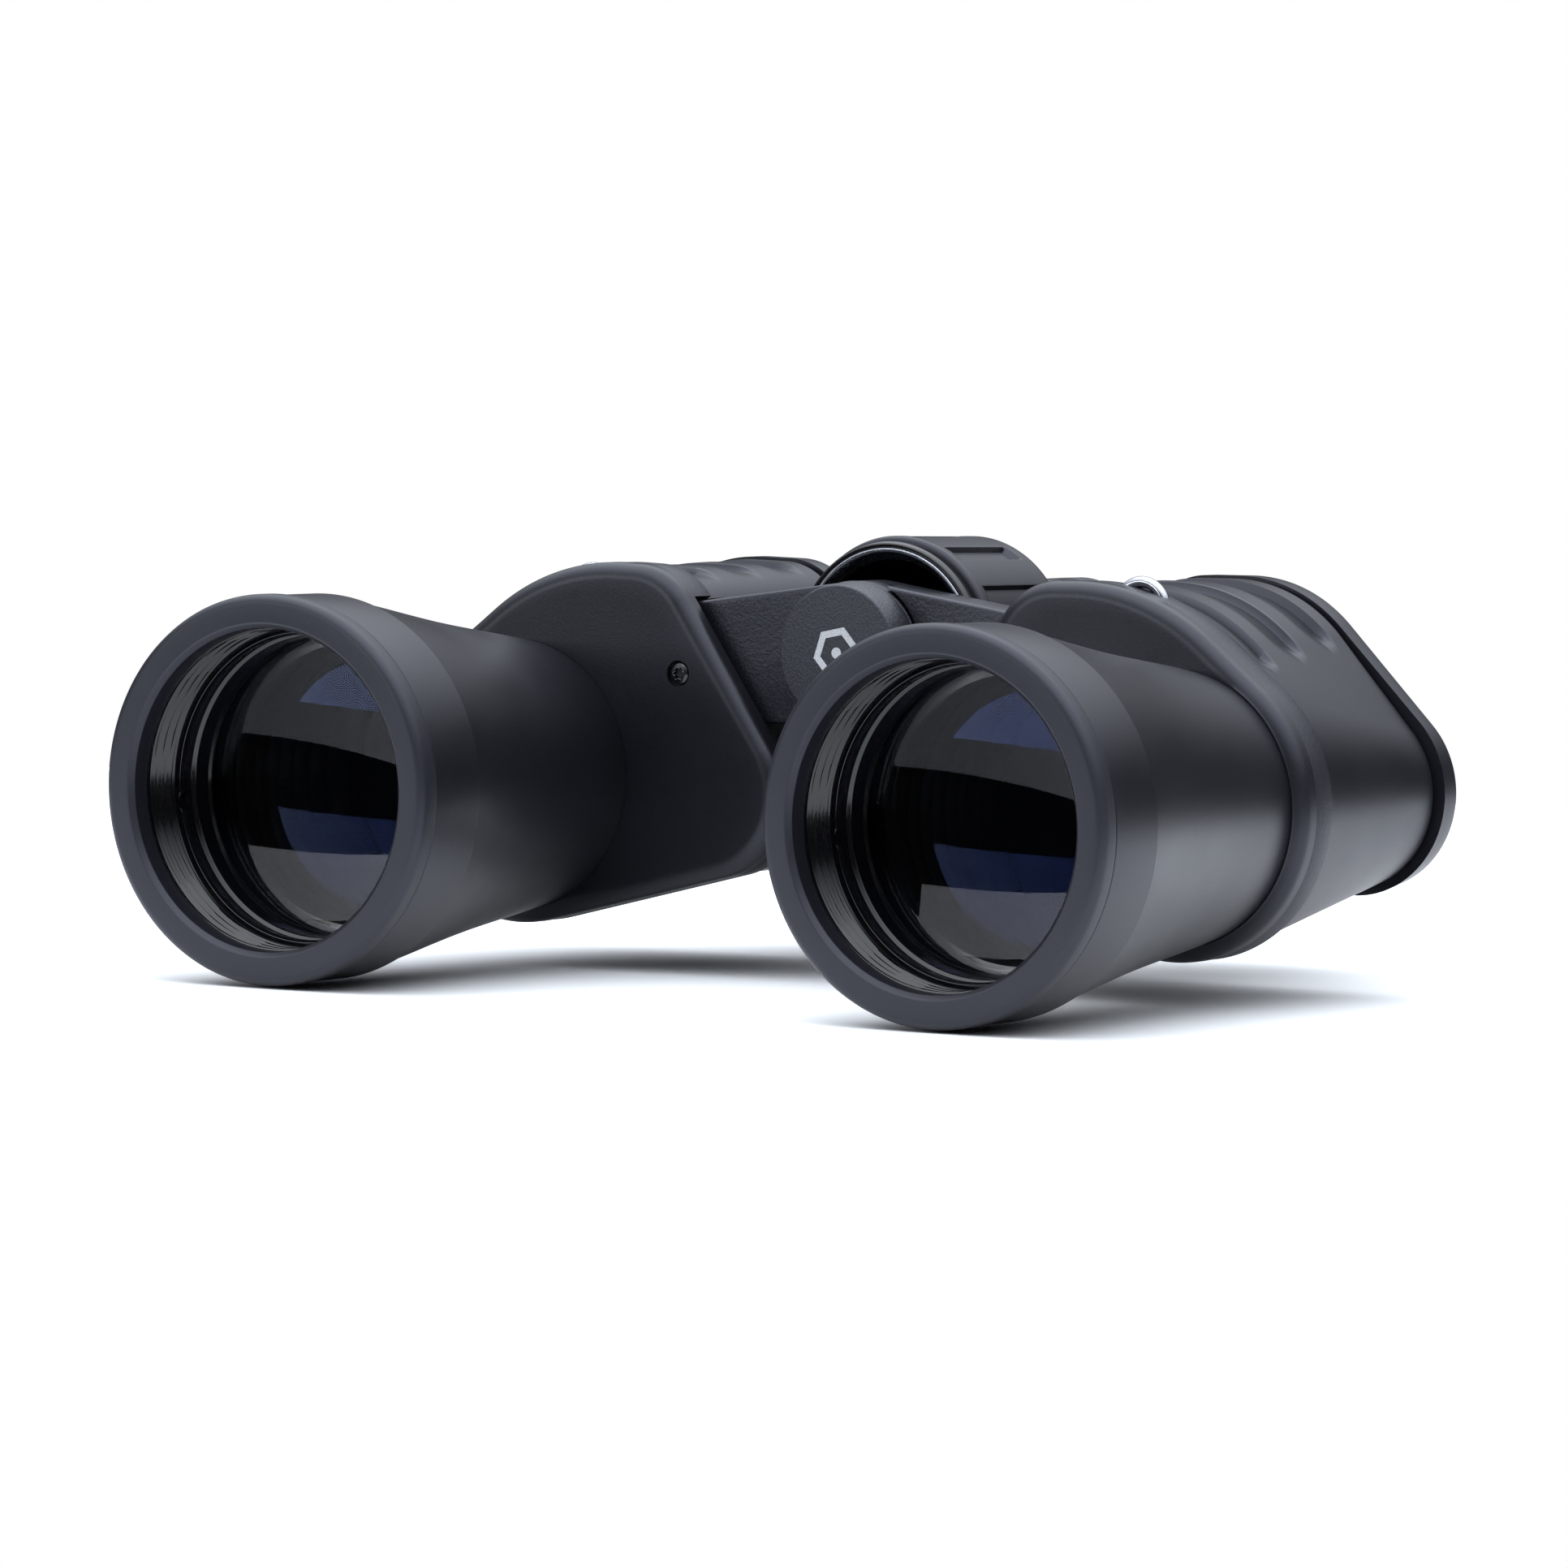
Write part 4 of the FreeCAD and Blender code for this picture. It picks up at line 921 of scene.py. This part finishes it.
def tick_marks(name, axis, body, radius, station, angles, length):
    """Short printed lines along Y round a ring."""
    points = []
    faces = []
    for angle, long in angles:
        half = math.radians(0.9)
        base = len(points)
        reach = length if long else length * 0.6
        for r in (radius - 0.03, radius + 0.05):
            for turn in (-half, half):
                for y in (station, station + reach):
                    points.append((axis[0] + r * math.cos(angle + turn), y,
                                   axis[1] + r * math.sin(angle + turn)))
        faces += [tuple(base + i for i in face) for face in
                  ((0, 1, 3, 2), (4, 6, 7, 5), (0, 4, 5, 1), (2, 3, 7, 6), (0, 2, 6, 4), (1, 5, 7, 3))]
    piece(new_object(name, points, faces), TICKS, body, "black_anodised")


def eyepiece(name, side):
    """Tube, lenses and fold-down eyecup of one side."""
    body = name + "_ocular"
    axis = EYEPIECE[name]
    slide = BRIDGE_FRONT - 24
    flange = CUP_FRONT - 1.8
    ring_end = station_of("dioptre_ring", 1)
    tube = [(11.2, slide), (12.4, slide, 0.3), (12.4, BRIDGE_FRONT), (15.45, BRIDGE_FRONT)]
    if side < 0:
        tube += [(15.45, BRIDGE_REAR), (18.55, BRIDGE_REAR, 0.5), (18.55, ring_end, 0.5), (15.45, ring_end)]
    tube += [(15.45, flange), (16.4, flange, 0.3), (16.4, CUP_FRONT + 12), (13.0, CUP_FRONT + 12, 0.3),
             (12.9, CUP_FRONT + 11), (11.5, CUP_FRONT + 11), (11.5, CUP_FRONT + 5), (10.4, CUP_FRONT + 5),
             (10.4, BRIDGE_FRONT + 2), (11.2, BRIDGE_FRONT + 2)]
    piece(turned(name + "_ocular_tube", rounded(tube), axis), ANODISED, body, "black_anodised",
          name + "_eyepiece_tube")
    face = dome(11.5, CUP_FRONT + 9, 42.0)
    lens = [(0, CUP_FRONT + 5), (11.48, CUP_FRONT + 5), (11.48, CUP_FRONT + 9)] + face[::-1][1:]
    piece(turned(name + "_ocular_lens", lens, axis, 96), EYE_GLASS, body, "coated_glass",
          name + "_eye_lens")
    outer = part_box(name + "_eyecup")[1].x / MM - axis[0]
    cup = [(16.4, CUP_FRONT), (outer - 0.4, CUP_FRONT, 0.3), (outer, CUP_FRONT + 0.6, 0.3),
           (outer, CUP_FRONT + 2.4, 0.3), (outer - 0.6, CUP_FRONT + 3.0, 0.4),
           (outer - 0.6, CUP_FRONT + 6.4, 0.4), (outer, CUP_FRONT + 7.0, 0.4),
           (outer, CUP_REAR - 2.2, 0.9), (outer - 0.8, CUP_REAR, 0.9), (outer - 2.8, CUP_REAR, 0.7),
           (outer - 3.2, CUP_REAR - 1.6, 0.6), (outer - 3.0, CUP_FRONT + 13.2, 0.6),
           (13.0, CUP_FRONT + 12.02), (16.4, CUP_FRONT + 12.02)]
    piece(turned(name + "_eyecup_rubber", rounded(cup), axis), CUP_RUBBER, body, "grip_rubber",
          name + "_eyecup")


def ribbed_band(label, axis, body, front, rear, base):
    """Narrow ring with straight ribs, as a grip on an ocular ring."""
    steps = 12
    profile = [(base - 0.4, front)]
    for k in range(steps + 1):
        fade = math.sin(math.pi * k / steps) ** 0.4 if 0 < k < steps else 0
        profile.append((base + 0.01 + 0.28 * fade, front + (rear - front) * k / steps))
    profile.append((base - 0.4, rear))
    piece(turned(label, profile, axis, 480, knurled(base)), GRIP_RUBBER, body, "black_anodised")


def dioptre_ring():
    """Ribbed dioptre ring of the right eyepiece, with a plain scale beside it."""
    axis = EYEPIECE["right"]
    front, rear = station_of("dioptre_ring", 0), station_of("dioptre_ring", 1)
    profile = rounded([(15.55, front), (18.0, front, 0.4), (18.0, rear, 0.4), (15.55, rear)])
    piece(turned("dioptre_core", profile, axis), ANODISED, "dioptre_ring", "black_anodised",
          "dioptre_ring")
    ribbed_band("dioptre_ribs", axis, "dioptre_ring", front + 2.2, rear - 0.8, 18.0)
    scale = [(math.radians(90 + 14 * k), k == 0) for k in range(-3, 4)]
    tick_marks("dioptre_scale", axis, "dioptre_ring", 18.0, front + 0.5, scale, 1.5)


# ------------------------------------------------------------------- assembly

for side_name, side_sign in SIDES:
    objective_end(side_name)
    prism_housing(side_name, side_sign)
    eyepiece(side_name, side_sign)
central_hinge()
focus_wheel()
ocular_bridge()
dioptre_ring()

KEPT_NODES = {"hinge_axle": STEEL, "focus_shaft": STEEL, "drive_pin": STEEL}
for side_name, side_sign in SIDES:
    KEPT_NODES[side_name + "_prism_shelf"] = CASTING
    KEPT_NODES[side_name + "_front_prism"] = PRISM_GLASS
    KEPT_NODES[side_name + "_rear_prism"] = PRISM_GLASS
    KEPT_NODES[side_name + "_field_lens"] = EYE_GLASS
for node_name, material in KEPT_NODES.items():
    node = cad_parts[node_name]
    node.data.materials.clear()
    node.data.materials.append(material)


# -------------------------------------------------------------- camera, lights

def aimed(obj, place, target):
    """Put an object at a place, looking along its own -Z at a target."""
    obj.location = place
    obj.rotation_euler = (Vector(target) - Vector(place)).to_track_quat("-Z", "Y").to_euler()
    return obj


def camera():
    """Long lens, a little above the barrels and to their right."""
    data = bpy.data.cameras.new("camera")
    data.lens = 260.04
    data.sensor_width = 36
    data.clip_end = 50
    made = bpy.data.objects.new("camera", data)
    bpy.context.scene.collection.objects.link(made)
    azimuth, elevation, roll = (math.radians(a) for a in (33.25, 3.27, 0.89))
    back = Vector((math.sin(azimuth) * math.cos(elevation),
                   -math.cos(azimuth) * math.cos(elevation), math.sin(elevation)))
    right = Vector((math.cos(azimuth), math.sin(azimuth), 0))
    up = back.cross(right)
    rolled_right = right * math.cos(roll) + up * math.sin(roll)
    rolled_up = up * math.cos(roll) - right * math.sin(roll)
    turn = Matrix((rolled_right, rolled_up, back)).transposed().to_4x4()
    made.matrix_world = Matrix.Translation(Vector((0.9842, RIM_Y - 1.4464, 0.1352))) @ turn
    bpy.context.scene.camera = made


def soft_light(name, place, target, width, height, power, colour):
    """Rectangular soft light."""
    data = bpy.data.lights.new(name, "AREA")
    data.shape = "RECTANGLE"
    data.size = width
    data.size_y = height
    data.energy = power
    data.color = colour
    made = bpy.data.objects.new(name, data)
    bpy.context.scene.collection.objects.link(made)
    return aimed(made, place, target)


def surroundings():
    """White backdrop to look at, with a bright soft ceiling over a dim horizon for light."""
    world = bpy.data.worlds.new("studio")
    bpy.context.scene.world = world
    world.use_nodes = True
    tree = world.node_tree
    backdrop = tree.nodes["Background"]
    backdrop.inputs["Color"].default_value = (1, 1, 1, 1)
    ceiling = tree.nodes.new("ShaderNodeBackground")
    ceiling.inputs["Color"].default_value = (0.88, 0.93, 1, 1)
    direction = tree.nodes.new("ShaderNodeTexCoord")
    parts = tree.nodes.new("ShaderNodeSeparateXYZ")
    tree.links.new(direction.outputs["Generated"], parts.inputs["Vector"])
    tree.links.new(remap(tree, parts.outputs["Z"], 0.30, 0.85, 0.04, 3.4), ceiling.inputs["Strength"])
    paths = tree.nodes.new("ShaderNodeLightPath")
    choice = tree.nodes.new("ShaderNodeMixShader")
    tree.links.new(paths.outputs["Is Camera Ray"], choice.inputs[0])
    tree.links.new(ceiling.outputs[0], choice.inputs[1])
    tree.links.new(backdrop.outputs[0], choice.inputs[2])
    tree.links.new(choice.outputs[0], tree.nodes["World Output"].inputs["Surface"])


def studio():
    """Pale floor and the soft light that stands in front of the lenses."""
    half, front, rear = 0.45, RIM_Y - 0.17, 0.5
    floor = bpy.data.meshes.new("floor")
    floor.from_pydata([(-half, front, 0), (half, front, 0), (half, rear, 0), (-half, rear, 0)], [],
                      [(0, 1, 2, 3)])
    made = bpy.data.objects.new("floor", floor)
    made.location.z = -0.0004
    bpy.context.scene.collection.objects.link(made)
    pale, shader = node_material("pale_floor")
    tree = pale.node_tree
    mottle = remap(tree, noise(tree, 400.0), 0.3, 0.7, 0.0, 1.0)
    tree.links.new(blend_colours(tree, mottle, (0.93, 0.93, 0.93), (0.95, 0.95, 0.95)),
                   shader.inputs["Base Color"])
    shader.inputs["Roughness"].default_value = 0.9
    floor.materials.append(pale)
    soft_light("key", (-0.789, RIM_Y - 1.239, 0.372), (0, RIM_Y, 0.031), 1.06, 0.30, 4.4,
               (0.93, 0.96, 1.0))


camera()
surroundings()
studio()
bpy.context.scene.view_settings.view_transform = "Standard"
